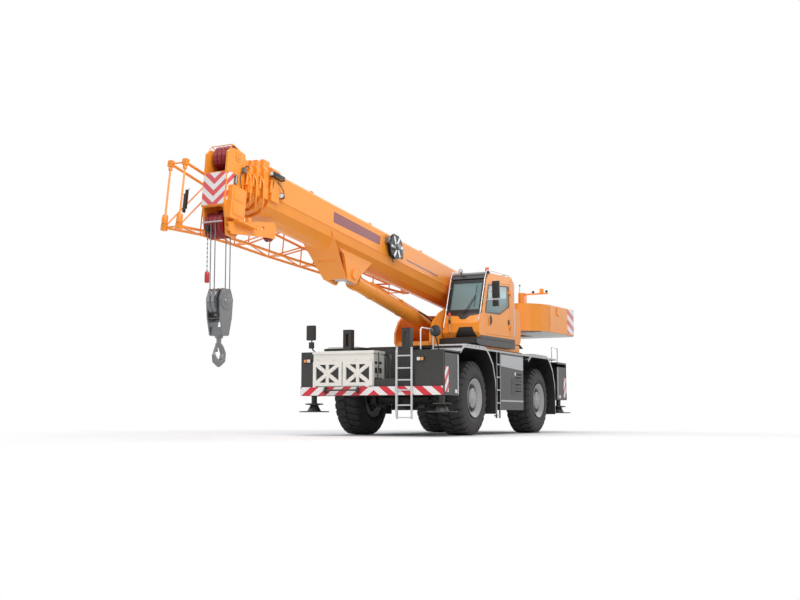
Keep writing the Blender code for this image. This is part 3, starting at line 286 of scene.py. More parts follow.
# %% The paint shop
ORANGE, DECK_GREY = (0.89, 0.300, 0.027), (0.42, 0.43, 0.435)
# The near-black arch colour is painted shade for the inside of the wheel arches.
ARCH_SHADE_BLACK, LINING = (0.006, 0.006, 0.006), (0.022, 0.023, 0.025)
FINISHES = [
    # name, colour, roughness, metallic, coat, grain scale, bump, mottle, dust, dust height
    ("crane_paint", ORANGE, 0.42, 0.0, 0.12, 60, 0.0004, 0.10, 0.04, 4.0),
    ("chassis_paint", (0.019, 0.020, 0.020), 0.45, 0.0, 0.05, 60, 0.0006, 0.20, 0.12, 2.4),
    ("deck_paint", DECK_GREY, 0.45, 0.0, 0.10, 70, 0.0006, 0.12, 0.10, 2.4),
    ("rim_paint", (0.33, 0.335, 0.345), 0.40, 0.15, 0.15, 70, 0.0006, 0.18, 0.25, 1.8),
    ("tyre_rubber", (0.014, 0.014, 0.015), 0.70, 0.0, 0.0, 90, 0.0012, 0.35, 0.10, 1.2),
    ("box_aluminium", (0.80, 0.785, 0.735), 0.40, 0.35, 0.0, 80, 0.0003, 0.12, 0.10, 2.4),
    ("machined_steel", (0.20, 0.205, 0.21), 0.33, 0.80, 0.0, 120, 0.0003, 0.25, 0.05, 4.0),
    ("sheave_red", (0.23, 0.004, 0.008), 0.46, 0.0, 0.0, 60, 0.0005, 0.25, 0.05, 4.0),
    ("black_plastic", (0.012, 0.013, 0.014), 0.38, 0.0, 0.0, 200, 0.0003, 0.20, 0.08, 4.0),
    ("seat_cloth", (0.030, 0.031, 0.034), 0.85, 0.0, 0.0, 300, 0.0010, 0.25, 0.0, 4.0),
    ("bright_tube", (0.58, 0.59, 0.60), 0.30, 0.55, 0.0, 90, 0.0003, 0.15, 0.08, 3.0),
    ("wire_rope", (0.10, 0.10, 0.10), 0.45, 0.65, 0.0, 160, 0.0015, 0.30, 0.05, 4.0),
    ("maroon_band", (0.235, 0.050, 0.060), 0.36, 0.0, 0.25, 60, 0.0003, 0.15, 0.05, 4.0),
    ("signal_red", (0.50, 0.015, 0.020), 0.38, 0.0, 0.2, 60, 0.0004, 0.15, 0.05, 4.0),
    ("mirror_glass", (0.72, 0.75, 0.78), 0.04, 1.0, 0.0, 4, 0.0002, 0.05, 0.0, 3.0),
    # pale_plate is also used as painted light on the counterweight's underside.
    ("pale_plate", (0.50, 0.50, 0.48), 0.42, 0.1, 0.1, 60, 0.0004, 0.15, 0.12, 4.0),
]


def finish(name, colour, rough, metal, coat, scale, bump, mottle, dust, reach):
    """One material from a row of the table; its colour is plain or a function that wires it."""
    made, tree, shader = new_material(name)
    base = colour(tree) if callable(colour) else (*colour, 1)
    tone = add_node(tree, "Group", node_tree=weather,
                    inputs={"Colour": base, "Mottle": mottle, "Dust": dust, "Dust height": reach})
    skin = add_node(tree, "Group", {"Scale": scale, "Roughness": rough}, node_tree=grain)
    dull = math_node(tree, "MULTIPLY", tone.outputs["Dust mask"], 0.5)
    dull = math_node(tree, "ADD", dull, skin.outputs["Roughness"], clamp=True)
    height = add_node(tree, "Bump", {"Distance": bump, "Height": skin.outputs["Height"]})
    fill(tree, shader, {"Metallic": metal, "Coat Weight": coat, "Coat Roughness": 0.12, "Roughness": dull,
                        "Base Color": tone.outputs["Colour"], "Normal": height.outputs[0]})
    return made


shop = {row[0]: finish(*row) for row in FINISHES}

# %% [markdown]
# ## Two-colour parts
# Two kinds of CAD node carry two finishes each. The mudguards are grey on top and on the lip, and
# black inside the arch, where the black is painted shade on the faces that look down or along the
# carrier; the object-space normal tells the faces apart. The cab is orange outside and lined with dark
# plastic inside; six planes, drawn a wall's thickness inside the shell, tell a place on the lining from
# one on the paint.

# %% Arch paint with its painted shade, and cab paint
CAB_PLANES = [((1, 0, 0), 0.585), ((-1, 0, 0), -1.490), ((0, 0, 1), 2.370), ((0, 0, -1), -3.950),
              ((0, -1, 0), -0.710), ((0, 0.951, 0.310), -0.226)]


def arch_colour_with_shade(tree):
    """Grey where the surface looks upwards or sideways; elsewhere black, painted shade under and inside the
    arch.
    """
    normal = add_node(tree, "TexCoord").outputs["Normal"]
    facing = add_node(tree, "SeparateXYZ", {0: normal}).outputs
    upward = math_node(tree, "GREATER_THAN", facing["Z"], 0.35)
    sideways = math_node(tree, "GREATER_THAN", math_node(tree, "ABSOLUTE", facing["X"]), 0.7)
    pale = math_node(tree, "MAXIMUM", upward, sideways)
    return mix_colour(tree, pale, (*ARCH_SHADE_BLACK, 1), (*DECK_GREY, 1))


def cab_colour(tree):
    """Lining where a place is inside all the planes, paint elsewhere."""
    place, inside = object_place(tree), 1.0
    for direction, offset in CAB_PLANES:
        turned = UPPER.to_3x3() @ Vector(direction)
        limit = offset + turned.dot(UPPER.translation)
        beyond = math_node(tree, "GREATER_THAN", along(tree, place, turned), limit)
        inside = math_node(tree, "MULTIPLY", inside, beyond)
    return mix_colour(tree, inside, (*ORANGE, 1), (*LINING, 1))


# The arches' black is painted shade on the faces that look down or along the carrier.
shop["arch_paint_and_shade"] = finish("arch_paint_and_shade", arch_colour_with_shade, 0.45, 0.0, 0.10, 70, 0.0006, 0.12, 0.08, 2.4)
shop["cab_paint"] = finish("cab_paint", cab_colour, *FINISHES[0][2:])

# %% [markdown]
# ## Marking tape, glass and lamp lenses
# The red and white tape on bumpers, corners, boom head and counterweight is one pattern with other
# numbers: parallel stripes, folded about a middle line where they meet in a V. The group puts out
# the mask of the red stripes; each tape then sets which way is across and which way is along. The
# cab's glass is thin and slightly green, and lets the seat show through.

# %% Striped tape as a node group and its materials
stripe_inputs = [("Across", "vector", (1, 0, 0)), ("Middle", "float", 0.0), ("Slant", "float", 1.0),
                 ("Along", "vector", (0, 0, 1)), ("Shift", "float", 0.0), ("Period", "float", 0.4)]
stripes, start, end = group("folded_stripes", stripe_inputs, [("Mask", "float")])
place = object_place(stripes)
fold = math_node(stripes, "SUBTRACT", along(stripes, place, start["Across"]), start["Middle"])
fold = math_node(stripes, "MULTIPLY", math_node(stripes, "ABSOLUTE", fold), start["Slant"])
run = math_node(stripes, "ADD", along(stripes, place, start["Along"]), fold)
run = math_node(stripes, "ADD", run, start["Shift"])
run = math_node(stripes, "FRACT", math_node(stripes, "DIVIDE", run, start["Period"]))
fill(stripes, end, {"Mask": math_node(stripes, "GREATER_THAN", run, 0.5)})
TAPE_WHITE, KEEP_POSITIVE = (0.80, 0.79, 0.77, 1), 40


def tape(name, frame_matrix, across, middle, slant, along_way, period, red, shift=0.0):
    """Retro-reflective tape whose stripes are written in one of the three frames."""
    turn, origin = frame_matrix.to_3x3(), frame_matrix.translation
    across, along_way = turn @ Vector(across), turn @ Vector(along_way)
    made, tree, shader = new_material(name)
    values = {"Across": across, "Middle": middle + across.dot(origin), "Slant": slant, "Along": along_way,
              "Shift": shift - along_way.dot(origin) + KEEP_POSITIVE * period, "Period": period}
    mask = add_node(tree, "Group", values, node_tree=stripes).outputs["Mask"]
    both = mix_colour(tree, mask, TAPE_WHITE, (*red, 1))
    tone = add_node(tree, "Group", {"Dust": 0.06, "Colour": both}, node_tree=weather)
    skin = add_node(tree, "Group", {"Scale": 220, "Roughness": 0.32}, node_tree=grain)
    height = add_node(tree, "Bump", {"Distance": 0.0003, "Height": skin.outputs["Height"]})
    fill(tree, shader, {"Coat Weight": 0.3, "Roughness": skin.outputs["Roughness"],
                        "Base Color": tone.outputs["Colour"], "Normal": height.outputs[0]})
    return made


SIGNAL_RED, FADED_RED = (0.62, 0.012, 0.030), (0.72, 0.085, 0.10)
for name, *values in (("bumper_tape", CARRIER, (1, 0, 0), 0.1, 0.8, (0, 0, 1), 0.34, SIGNAL_RED),
                      ("corner_tape", CARRIER, (0, 0, 0), 0, 0, (0, 1.25, -1), 0.30, SIGNAL_RED),
                      ("head_tape", BOOM, (1, 0, 0), 0, -0.85, (0, 0, 1), 0.235, FADED_RED, 0.03),
                      ("cheek_tape", BOOM, (0, 0, 0), 0, 0, (0, -1.1, 1), 0.235, FADED_RED, 0.05),
                      ("tail_tape", UPPER, (0, 1, 0), 4.93, -0.42, (0, 0, 1), 0.30, SIGNAL_RED)):
    shop[name] = tape(name, *values)


# %% Cab glass and lamp lenses
shop["cab_glass"], tree, shader = new_material("cab_glass")
fill(tree, shader, {"Base Color": (0.27, 0.43, 0.45, 1), "Roughness": 0.03, "IOR": 1.45,
                    "Transmission Weight": 0.45})


def lens(name, colour, glow):
    """Ribbed plastic lens: a coloured gloss with a prism pattern pressed into it."""
    made, tree, shader = new_material(name)
    prisms = add_node(tree, "TexVoronoi", {"Scale": 110, "Vector": object_place(tree)}).outputs["Distance"]
    tint = mix_colour(tree, prisms, (*colour, 1), (*[c * 0.55 for c in colour], 1))
    height = add_node(tree, "Bump", {"Distance": 0.002, "Height": prisms})
    fill(tree, shader, {"Roughness": 0.12, "Coat Weight": 0.6, "Emission Strength": glow, "Base Color": tint,
                        "Emission Color": tint, "Normal": height.outputs[0]})
    return made


for name, colour, glow in (("amber_lens", (0.90, 0.30, 0.03), 0.25), ("clear_lens", (0.80, 0.80, 0.77), 0.1),
                           ("red_lens", (0.75, 0.02, 0.02), 0.2), ("green_lens", (0.02, 0.26, 0.08), 0.1),
                           ("salmon_lens", (0.80, 0.17, 0.12), 0.3)):
    shop[name] = lens(name, colour, glow)
print("finishes:", ", ".join(shop))

# %% [markdown]
# ## Working tools
# Fittings are made from a few plain shapes that a workshop would know: bevelled blocks, cut plates,
# turned parts and bent tube. The first three go into one bmesh; the tube follows a path with a
# Geometry Nodes tree. Two more trees repeat a shape in a ring or in a row, as bolts, lugs, slats and
# rungs are repeated. Every tree ends in Realize Instances and Set Material.

# %% Shapes in bmesh
def add_block(bm, low, high, soft=0.006):
    """A block between two corners, with its edges softened."""
    low, high = Vector(low), Vector(high)
    size, middle = high - low, (low + high) / 2
    corners = bmesh.ops.create_cube(bm, size=1)["verts"]
    for vert in corners:
        vert.co = Vector((vert.co.x * size.x, vert.co.y * size.y, vert.co.z * size.z)) + middle
    edges = {edge for vert in corners for edge in vert.link_edges}
    soft = min(soft, min(size) * 0.3)
    bmesh.ops.bevel(bm, geom=list(edges), offset=soft, segments=2, profile=0.7, affect="EDGES")


def add_slab(bm, near, far, caps=None):
    """A solid between two like outlines; caps splits its ends into faces of those corners."""
    loops = [[bm.verts.new(point) for point in outline] for outline in (near, far)]
    for loop in loops:
        for cap in caps or (range(len(loop)),):
            bm.faces.new([loop[i] for i in cap])
    for i in range(len(near)):
        j = (i + 1) % len(near)
        bm.faces.new((loops[0][i], loops[0][j], loops[1][j], loops[1][i]))


def add_plate(bm, outline, axis, start, end):
    """A flat plate: an outline in the two other axes, between start and end along the axis."""
    def corner(a, b, t):
        return {"x": (t, a, b), "y": (a, t, b), "z": (a, b, t)}[axis]
    add_slab(bm, *[[corner(a, b, t) for a, b in outline] for t in (start, end)])


def facing_way(place, axis):
    """A frame at a place whose Z axis points along axis."""
    turn = Vector(axis).to_track_quat("Z", "Y").to_matrix().to_4x4()
    turn.translation = place
    return turn


def add_turned(bm, profile, place, axis=(0, 0, 1), sides=24, closed=False):
    """A turned part from rows of (radius, along); a row at radius 0 closes an end."""
    turn = facing_way(place, axis)
    angles = [2 * math.pi * i / sides for i in range(sides)]
    rings = []
    for radius, height in profile:
        if radius == 0:
            rings.append([bm.verts.new(turn @ Vector((0, 0, height)))] * sides)
            continue
        rings.append([bm.verts.new(turn @ Vector((radius * math.cos(a), radius * math.sin(a), height)))
                      for a in angles])
    pairs = list(zip(rings, rings[1:])) + ([(rings[-1], rings[0])] if closed else [])
    for ring, following in pairs:
        for i in range(sides):
            j = (i + 1) % sides
            face = list(dict.fromkeys((ring[i], ring[j], following[j], following[i])))
            if len(face) > 2:
                bm.faces.new(face)


def rect(a, b, low, high):
    """The outline of a rectangle from a to b and from low to high."""
    return [(a, low), (b, low), (b, high), (a, high)]


def rod(radius, low, high):
    """The profile of a plain rod, for a turned part."""
    return [(0, low), (radius, low), (radius, high), (0, high)]


def waiting(add_shape):
    """Make x(...) out of add_x(bm, ...): it holds its numbers until fit() gives it a bmesh."""
    return lambda *numbers, **more: lambda bm: add_shape(bm, *numbers, **more)


block, slab, plate, turned = (waiting(one) for one in (add_block, add_slab, add_plate, add_turned))


# %% From a mesh to a finished piece
def finished(name, look, seat, mesh, crease=35):
    """Carry a mesh into the world, turn its faces outwards, paint it and let it ride on a body."""
    body, place = seat
    mesh.transform(place)
    bm = bmesh.new()
    bm.from_mesh(mesh)
    bmesh.ops.remove_doubles(bm, verts=bm.verts, dist=0.00001)
    bmesh.ops.recalc_face_normals(bm, faces=bm.faces)
    bm.to_mesh(mesh)
    bm.free()
    mesh.shade_smooth()
    mesh.set_sharp_from_angle(angle=math.radians(crease))
    mesh.materials.clear()
    mesh.materials.append(shop[look])
    made = bpy.data.objects.new(name, mesh)
    bpy.context.scene.collection.objects.link(made)
    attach(made, body)
    return made


def mesh_from(name, bm):
    """A mesh with the faces of a bmesh, which is used up."""
    mesh = bpy.data.meshes.new(name)
    bm.to_mesh(mesh)
    bm.free()
    return mesh


def shaped(name, look, seat, bm, crease=35):
    """Finish a piece that was made in bmesh."""
    return finished(name, look, seat, mesh_from(name, bm), crease)


def fit(name, look, seat, *shapes, crease=35):
    """Finish a piece that is made of plain shapes."""
    bm = bmesh.new()
    for shape in shapes:
        shape(bm)
    return shaped(name, look, seat, bm, crease)


# %% The three Geometry Nodes trees
def node_tree(name, sockets):
    """A Geometry Nodes tree with named inputs: the tree, its inputs and its output node."""
    tree = bpy.data.node_groups.new(name, "GeometryNodeTree")
    tree.interface.new_socket("Geometry", in_out="INPUT", socket_type="NodeSocketGeometry")
    for label, kind in sockets.items():
        tree.interface.new_socket(label, in_out="INPUT", socket_type="NodeSocket" + kind)
    tree.interface.new_socket("Finish", in_out="INPUT", socket_type="NodeSocketMaterial")
    tree.interface.new_socket("Geometry", in_out="OUTPUT", socket_type="NodeSocketGeometry")
    return tree, tree.nodes.new("NodeGroupInput").outputs, tree.nodes.new("NodeGroupOutput")


def closing_nodes(tree, start, end, source):
    """Realize Instances and Set Material, the two nodes that every tree ends in."""
    real = add_node(tree, "RealizeInstances", {0: source.outputs[0]})
    paint = add_node(tree, "SetMaterial", {"Geometry": real.outputs[0], "Material": start["Finish"]})
    fill(tree, end, {0: paint.outputs[0]})


tube_tree, start, end = node_tree("bent_tube", {"Radius": "Float", "Bend": "Float", "Sides": "Int",
                                                "Flexible": "Bool"})
line = add_node(tube_tree, "MeshToCurve", {"Mesh": start["Geometry"]}).outputs[0]
fillet = add_node(tube_tree, "FilletCurve", mode="POLY",
                  inputs={"Count": 4, "Limit Radius": True, "Curve": line, "Radius": start["Bend"]})
supple = add_node(tube_tree, "CurveSplineType", {"Curve": line}, spline_type="CATMULL_ROM")
evened = add_node(tube_tree, "SetSplineResolution", {0: supple.outputs[0], "Resolution": 6})
choice = add_node(tube_tree, "Switch", input_type="GEOMETRY",
                  inputs={"Switch": start["Flexible"], "False": fillet.outputs[0], "True": evened.outputs[0]})
section = add_node(tube_tree, "CurvePrimitiveCircle", {"Resolution": start["Sides"],
                                                       "Radius": start["Radius"]})
sweep = add_node(tube_tree, "CurveToMesh", {"Fill Caps": True, "Curve": choice.outputs[0],
                                            "Profile Curve": section.outputs[0]})
closing_nodes(tube_tree, start, end, sweep)

ring_tree, start, end = node_tree("ring_of_copies", {"Count": "Int", "Radius": "Float"})
ring = add_node(ring_tree, "MeshCircle", {"Vertices": start["Count"], "Radius": start["Radius"]})
where = add_node(ring_tree, "InputPosition").outputs[0]
facing = add_node(ring_tree, "FunctionNodeAlignRotationToVector", {"Vector": where}, axis="X")
copies = add_node(ring_tree, "InstanceOnPoints", {"Points": ring.outputs[0], "Instance": start["Geometry"],
                                                  "Rotation": facing.outputs[0]})
closing_nodes(ring_tree, start, end, copies)

row_tree, start, end = node_tree("row_of_copies", {"Count": "Int", "Step": "Vector"})
row = add_node(row_tree, "MeshLine", {"Count": start["Count"], "Offset": start["Step"]})
copies = add_node(row_tree, "InstanceOnPoints", {"Points": row.outputs[0], "Instance": start["Geometry"]})
closing_nodes(row_tree, start, end, copies)


# %% Calling the trees
def grown(name, look, seat, mesh, tree, values, crease=35):
    """Run a tree on a mesh and finish its plain result as one piece."""
    source = bpy.data.objects.new(name + "_source", mesh)
    bpy.context.scene.collection.objects.link(source)
    modifier = source.modifiers.new(tree.name, "NODES")
    modifier.node_group = tree
    inputs = {item.name: item.identifier for item in tree.interface.items_tree
              if item.item_type == "SOCKET" and item.in_out == "INPUT"}
    for label, value in dict(values, Finish=shop[look]).items():
        modifier[inputs[label]] = value
    ready = source.evaluated_get(bpy.context.evaluated_depsgraph_get())
    result = bpy.data.meshes.new_from_object(ready)
    bpy.data.objects.remove(source)
    result.name = name
    return finished(name, look, seat, result, crease)


def tubes(name, look, seat, radius, paths, bend=0.05, flexible=False):
    """Bent tube, hose or rope along one or more paths of points."""
    points, edges = [], []
    for path in paths:
        first = len(points)
        points += [Vector(p) for p in path]
        edges += [(i, i + 1) for i in range(first, len(points) - 1)]
    mesh = bpy.data.meshes.new(name)
    mesh.from_pydata(points, edges, [])
    values = {"Radius": radius, "Bend": bend, "Sides": 8, "Flexible": flexible}
    return grown(name, look, seat, mesh, tube_tree, values)


def ringed(name, look, seat, bm, count, radius, crease=35):
    """A shape repeated round the Z axis of its seat; its X axis points outwards."""
    return grown(name, look, seat, mesh_from(name, bm), ring_tree, {"Count": count, "Radius": radius}, crease)


def rowed(name, look, seat, bm, count, step, crease=35):
    """A shape repeated along a step."""
    return grown(name, look, seat, mesh_from(name, bm), row_tree, {"Count": count, "Step": step}, crease)


def bolt(size=0.016, tall=0.012):
    """A hexagon head with a chamfer and its washer, standing on the origin along Z."""
    bm = bmesh.new()
    add_turned(bm, rod(size * 1.25, 0, tall * 0.2), (0, 0, 0), sides=12)
    head = [(size, tall * 0.15), (size, tall * 0.85), (size * 0.85, tall), (0, tall)]
    add_turned(bm, head, (0, 0, 0), sides=6)
    return bm


print("trees:", tube_tree.name, ring_tree.name, row_tree.name)

# %% [markdown]
# ## Painting the CAD nodes
# The record gives each node a material slot. The table below says which finish that slot takes, and
# the few nodes that differ from their slot are named after it.

# %% Paint every node by its slot
SLOT_FINISH = {"orange": "crane_paint", "dark": "chassis_paint", "grey": "deck_paint",
               "rubber": "tyre_rubber", "rim": "rim_paint", "aluminium": "box_aluminium",
               "steel": "machined_steel", "red": "sheave_red", "glass": "cab_glass", "seat": "seat_cloth"}
NODE_FINISH = {"left_deck": "arch_paint_and_shade", "right_deck": "arch_paint_and_shade", "cab_shell": "cab_paint",
               "cab_door": "cab_paint", "front_ladder": "bright_tube", "cab_base": "black_plastic",
               "lift_cylinder_rod": "bright_tube"}
for part in frame["record"]["subparts"]:
    mesh = nodes[part["node"]].data
    mesh.materials.clear()
    mesh.materials.append(shop[NODE_FINISH.get(part["node"], SLOT_FINISH[part["material_slot"]])])

# %% [markdown]
# ## Tyres
# An earthmover tyre is a smooth casing with rubber blocks vulcanised on it. The casing is a turned
# shape; the blocks are modelled once, as a wedge that bends round the shoulder, and the ring tree
# sets twenty-eight of them along each edge, half a pitch apart, so that the gaps zigzag down the middle.

# %% Tyre shapes
TYRE_RADIUS, LUG_COUNT, LUG_EDGE = 0.865, 28, 0.007
CASING = [(0.415, 0.245), (0.450, 0.296), (0.475, 0.318), (0.520, 0.331), (0.575, 0.3375), (0.580, 0.3395),
          (0.586, 0.3375), (0.640, 0.337), (0.700, 0.326), (0.745, 0.312), (0.752, 0.314), (0.760, 0.308),
          (0.800, 0.284), (0.822, 0.240), (0.828, 0.120), (0.830, 0.0)]
# Rows of a block from the middle to the shoulder: across, back edge, front edge, top radius, foot radius
BLOCK = [(0.012, -0.008, 0.104, 0.8645, 0.80), (0.085, -0.042, 0.118, 0.8640, 0.80),
         (0.175, -0.066, 0.078, 0.8600, 0.80), (0.268, -0.068, 0.066, 0.8530, 0.79),
         (0.296, -0.064, 0.058, 0.8160, 0.77), (0.319, -0.056, 0.048, 0.7810, 0.74),
         (0.328, -0.046, 0.036, 0.7560, 0.70)]
CORNERS = ("front_left", "front_right", "rear_left", "rear_right")


def tread_block(side, lag):
    """One rubber block; side mirrors it and lag turns it by part of a pitch."""
    bm = bmesh.new()
    turn = Matrix.Rotation(lag * 2 * math.pi / LUG_COUNT, 3, "Z")
    rows = []
    for across, back, front, top, foot in BLOCK:
        shoulder = top - LUG_EDGE
        section = [(foot, back), (shoulder, back), (top, back + LUG_EDGE), (top, (back + front) / 2),
                   (top, front - LUG_EDGE), (shoulder, front), (foot, front)]
        rows.append([])
        for r, way in section:
            angle = way / TYRE_RADIUS
            point = Vector((r * math.cos(angle), r * math.sin(angle), side * across))
            rows[-1].append(bm.verts.new(turn @ point))
    for row, following in zip(rows, rows[1:]):
        for i in range(len(row)):
            j = (i + 1) % len(row)
            bm.faces.new((row[i], row[j], following[j], following[i]))
    bm.faces.new(rows[0])
    bm.faces.new(rows[-1])
    return bm


def wheel_seat(corner):
    """The wheel's body and its own frame, at its middle with Z pointing outwards along the axle."""
    low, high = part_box(corner + "_tyre")
    outwards = 1 if "left" in corner else -1
    return corner + "_wheel", facing_way((low + high) / 2, (outwards, 0, 0))


# %% Tyres on the four wheels
for corner in CORNERS:
    seat = wheel_seat(corner)
    half = CASING + [(r, -t) for r, t in reversed(CASING[:-1])]
    tyre = [fit(corner + "_tyre_casing", "tyre_rubber", seat, turned(half, (0, 0, 0), sides=96, closed=True))]
    for label, side, lag in (("outer", 1, 0.0), ("inner", -1, 0.5)):
        tyre.append(ringed(corner + "_tread_" + label, "tyre_rubber", seat, tread_block(side, lag), LUG_COUNT,
                           0.0001, 30))
    for made in tyre:
        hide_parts(corner + "_tyre")
print("tread blocks:", 2 * LUG_COUNT * len(CORNERS))

# %% [markdown]
# ## Rims
# The rim is a three-piece truck rim: a light flange ring that holds the bead, a deep dark gap, and
# the planetary hub drum, which stands out almost to the tyre's face. Its bolts are what the eye
# takes the wheel's size from, so they are modelled, two rings on the hub's cover and one on the disc.

# %% Rims, hub drums and wheel nuts
RIM = [(0.106, -0.12), (0.30, -0.12), (0.30, -0.29), (0.44, -0.32), (0.45, -0.33), (0.44, -0.325),
       (0.405, -0.255), (0.405, 0.255), (0.440, 0.315), (0.452, 0.325), (0.452, 0.338), (0.440, 0.339),
       (0.415, 0.318), (0.335, 0.268), (0.325, 0.255), (0.325, 0.10), (0.315, 0.09), (0.106, 0.09)]
DRUM = [(0.0, 0.09), (0.245, 0.09), (0.245, 0.125), (0.215, 0.135), (0.205, 0.15), (0.205, 0.255),
        (0.225, 0.262), (0.225, 0.285), (0.212, 0.292), (0.135, 0.300), (0.128, 0.312), (0.055, 0.316),
        (0.050, 0.326), (0.0, 0.328)]
# Columns: name, bolt size, height, how many, radius of the ring, place along the axle
WHEEL_BOLTS = (("nuts", 0.017, 0.026, 20, 0.285, 0.088), ("cover_bolts", 0.010, 0.010, 24, 0.185, 0.294),
               ("cap_bolts", 0.008, 0.008, 8, 0.092, 0.313))
for corner in CORNERS:
    body, place = wheel_seat(corner)
    rim = fit(corner + "_rim_ring", "rim_paint", (body, place), turned(RIM, (0, 0, 0), sides=72, closed=True))
    drum = fit(corner + "_hub_drum", "rim_paint", (body, place), turned(DRUM, (0, 0, 0), sides=48))
    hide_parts(corner + "_rim")
    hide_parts(corner + "_rim")
    for label, size, tall, count, radius, out in WHEEL_BOLTS:
        seat = (body, place @ Matrix.Translation((0, 0, out)))
        ringed(corner + "_" + label, "rim_paint", seat, bolt(size, tall), count, radius, 30)

# %% [markdown]
# ## The carrier's front
# Below the boom the carrier shows a tidy face: lamps in black housings, a band of marking tape, an
# aluminium box with spoked openings, and silver tube for hands and feet. Everything is thin and
# catches light, so it is made of real thickness and not painted on.

# %% Lamps and marking tape
END = 4.49
fit("bumper_band", "bumper_tape", ON_CARRIER,
    plate(rect(-1.765, 1.765, 0.905, 1.095), "y", -END - 0.004, -END - 0.0005))
fit("rear_bumper_band", "bumper_tape", ON_CARRIER,
    plate(rect(-1.765, 1.765, 0.905, 1.095), "y", END + 0.0005, END + 0.004))
for side in (-1, 1):
    for end, edge in (("front", -4.395), ("rear", 4.19)):
        beam = end + ("_left" if side > 0 else "_right")
        fit(beam + "_corner_band", "corner_tape", (beam + "_beam", CARRIER),
            plate(rect(edge, edge + 0.20, 0.97, 1.52), "x", side * 1.7705, side * 1.774))
        near = -3.69 if end == "front" else 3.62
        fit(beam + "_cover_lip", "deck_paint", (beam + "_beam", CARRIER),
            plate(rect(near, near + 0.065, 0.93, 1.80), "x", side * 1.7702, side * 1.778))
        near = -3.84 if end == "front" else 3.76
        low, high = sorted((side * 1.7701, side * 1.785))
        fit(beam + "_marker", "clear_lens", (beam + "_beam", CARRIER),
            block((low, near, 0.95), (high, near + 0.11, 1.03), 0.004))
# Columns: name, x, y, z, half width, half height, lens
LAMPS = [("front_left_head", 1.19, -4.497, 1.69, 0.037, 0.036, "clear_lens"),
         ("front_left_turn", 1.275, -4.497, 1.69, 0.032, 0.032, "amber_lens"),
         ("front_right_head", -1.555, -4.497, 1.69, 0.037, 0.036, "clear_lens"),
         ("front_right_turn", -1.645, -4.497, 1.69, 0.032, 0.032, "amber_lens")]
REAR_LAMPS = (("turn", "amber_lens"), ("stop", "red_lens"), ("reverse", "clear_lens"))
for side, label in ((1, "left"), (-1, "right")):
    for k, (kind, look) in enumerate(REAR_LAMPS):
        LAMPS.append(("rear_%s_%s" % (label, kind), side * (1.62 - 0.11 * k), 4.37, 1.62, 0.045, 0.045, look))
for name, x, y, z, wide, tall, look in LAMPS:
    fit(name + "_lens", look, ON_CARRIER,
        block((x - wide, y - 0.010, z - tall), (x + wide, y + 0.010, z + tall), 0.01))
fit("rear_lamp_housings", "black_plastic", ON_CARRIER,
    *[block((side * 1.35 - 0.34, 4.33, 1.55), (side * 1.35 + 0.34, 4.366, 1.69), 0.008)
        for side in (1, -1)])

# %% Handrails, mirrors and their stalks
tubes("deck_handrails", "bright_tube", ON_CARRIER, 0.016,
      [[(1.20, -4.40, 1.90), (1.20, -4.40, 2.38), (1.20, -3.72, 2.38), (1.20, -3.72, 1.90)],
       [(1.55, 3.80, 1.96), (1.55, 3.80, 2.38), (1.55, 4.34, 2.38), (1.55, 4.34, 1.90)],
       [(-1.55, 3.80, 1.96), (-1.55, 3.80, 2.38), (-1.55, 4.34, 2.38), (-1.55, 4.34, 1.90)]], bend=0.07)
tubes("front_ladder_tube", "bright_tube", ON_CARRIER, 0.017,
      [[(0.665, -4.515, 1.89), (0.665, -4.530, 0.42)],
       [(1.045, -4.515, 1.89), (1.045, -4.530, 0.42)]])
fit("left_round_mirror_shell", "black_plastic", ON_CARRIER,
    turned([(0, 0.045), (0.10, 0.040), (0.128, 0.020), (0.132, -0.01), (0.128, -0.03), (0.115, -0.034),
        (0, -0.034)], (1.25, -3.70, 2.35), (0, -1, 0.12), 32))
fit("right_mirror_shells", "black_plastic", ON_CARRIER,
    block((-1.855, -4.105, 2.19), (-1.635, -4.015, 2.54), 0.035),
    block((-1.80, -4.085, 2.00), (-1.68, -4.02, 2.15), 0.03))
fit("mirror_glasses", "mirror_glass", ON_CARRIER,
    plate(rect(-1.83, -1.66, 2.22, 2.51), "y", -4.0145, -4.0115),
    turned([(0, 0), (0.105, 0), (0.10, 0.004), (0, 0.006)], (1.25, -3.664, 2.346), (0, 1, -0.12), 28))

# %% Storage box: latches, spokes on panels of painted shade, side openings of painted shade and brackets; hoses beside it
fit("box_latches", "box_aluminium", ON_CARRIER,
    *[block((x - 0.03, -4.515, 1.66), (x + 0.03, -4.500, 1.71), 0.004)
        for x in (-1.36, -0.97, -0.40, -0.01)],
    *[block((x - 0.035, -4.520, 1.09), (x + 0.035, -4.44, 1.125), 0.004) for x in (-1.40, -0.05)])
PANEL_X, PANEL_Z, PANEL_HEIGHT, PANEL_MIDDLES = 0.365, 0.275, 1.395, (-0.685 - 0.385, -0.685 + 0.385)
inner_x, inner_z = PANEL_X - 0.03, PANEL_Z - 0.03
# The black panels behind the spokes are painted shade, standing for the box's shaded inside.
fit("box_shadow_panels", "black_plastic", ON_CARRIER,
    *[plate(rect(x - inner_x, x + inner_x, PANEL_HEIGHT - inner_z, PANEL_HEIGHT + inner_z), "y",
        -4.4670, -4.4625) for x in PANEL_MIDDLES])


def add_bar(bm, start, end, width, front, back):
    """A flat bar in the plane of the box's front, from start to end as (x, z)."""
    start, end = Vector(start), Vector(end)
    aside = (end - start).normalized().orthogonal() * width / 2
    add_plate(bm, [start - aside, end - aside, end + aside, start + aside], "y", front, back)


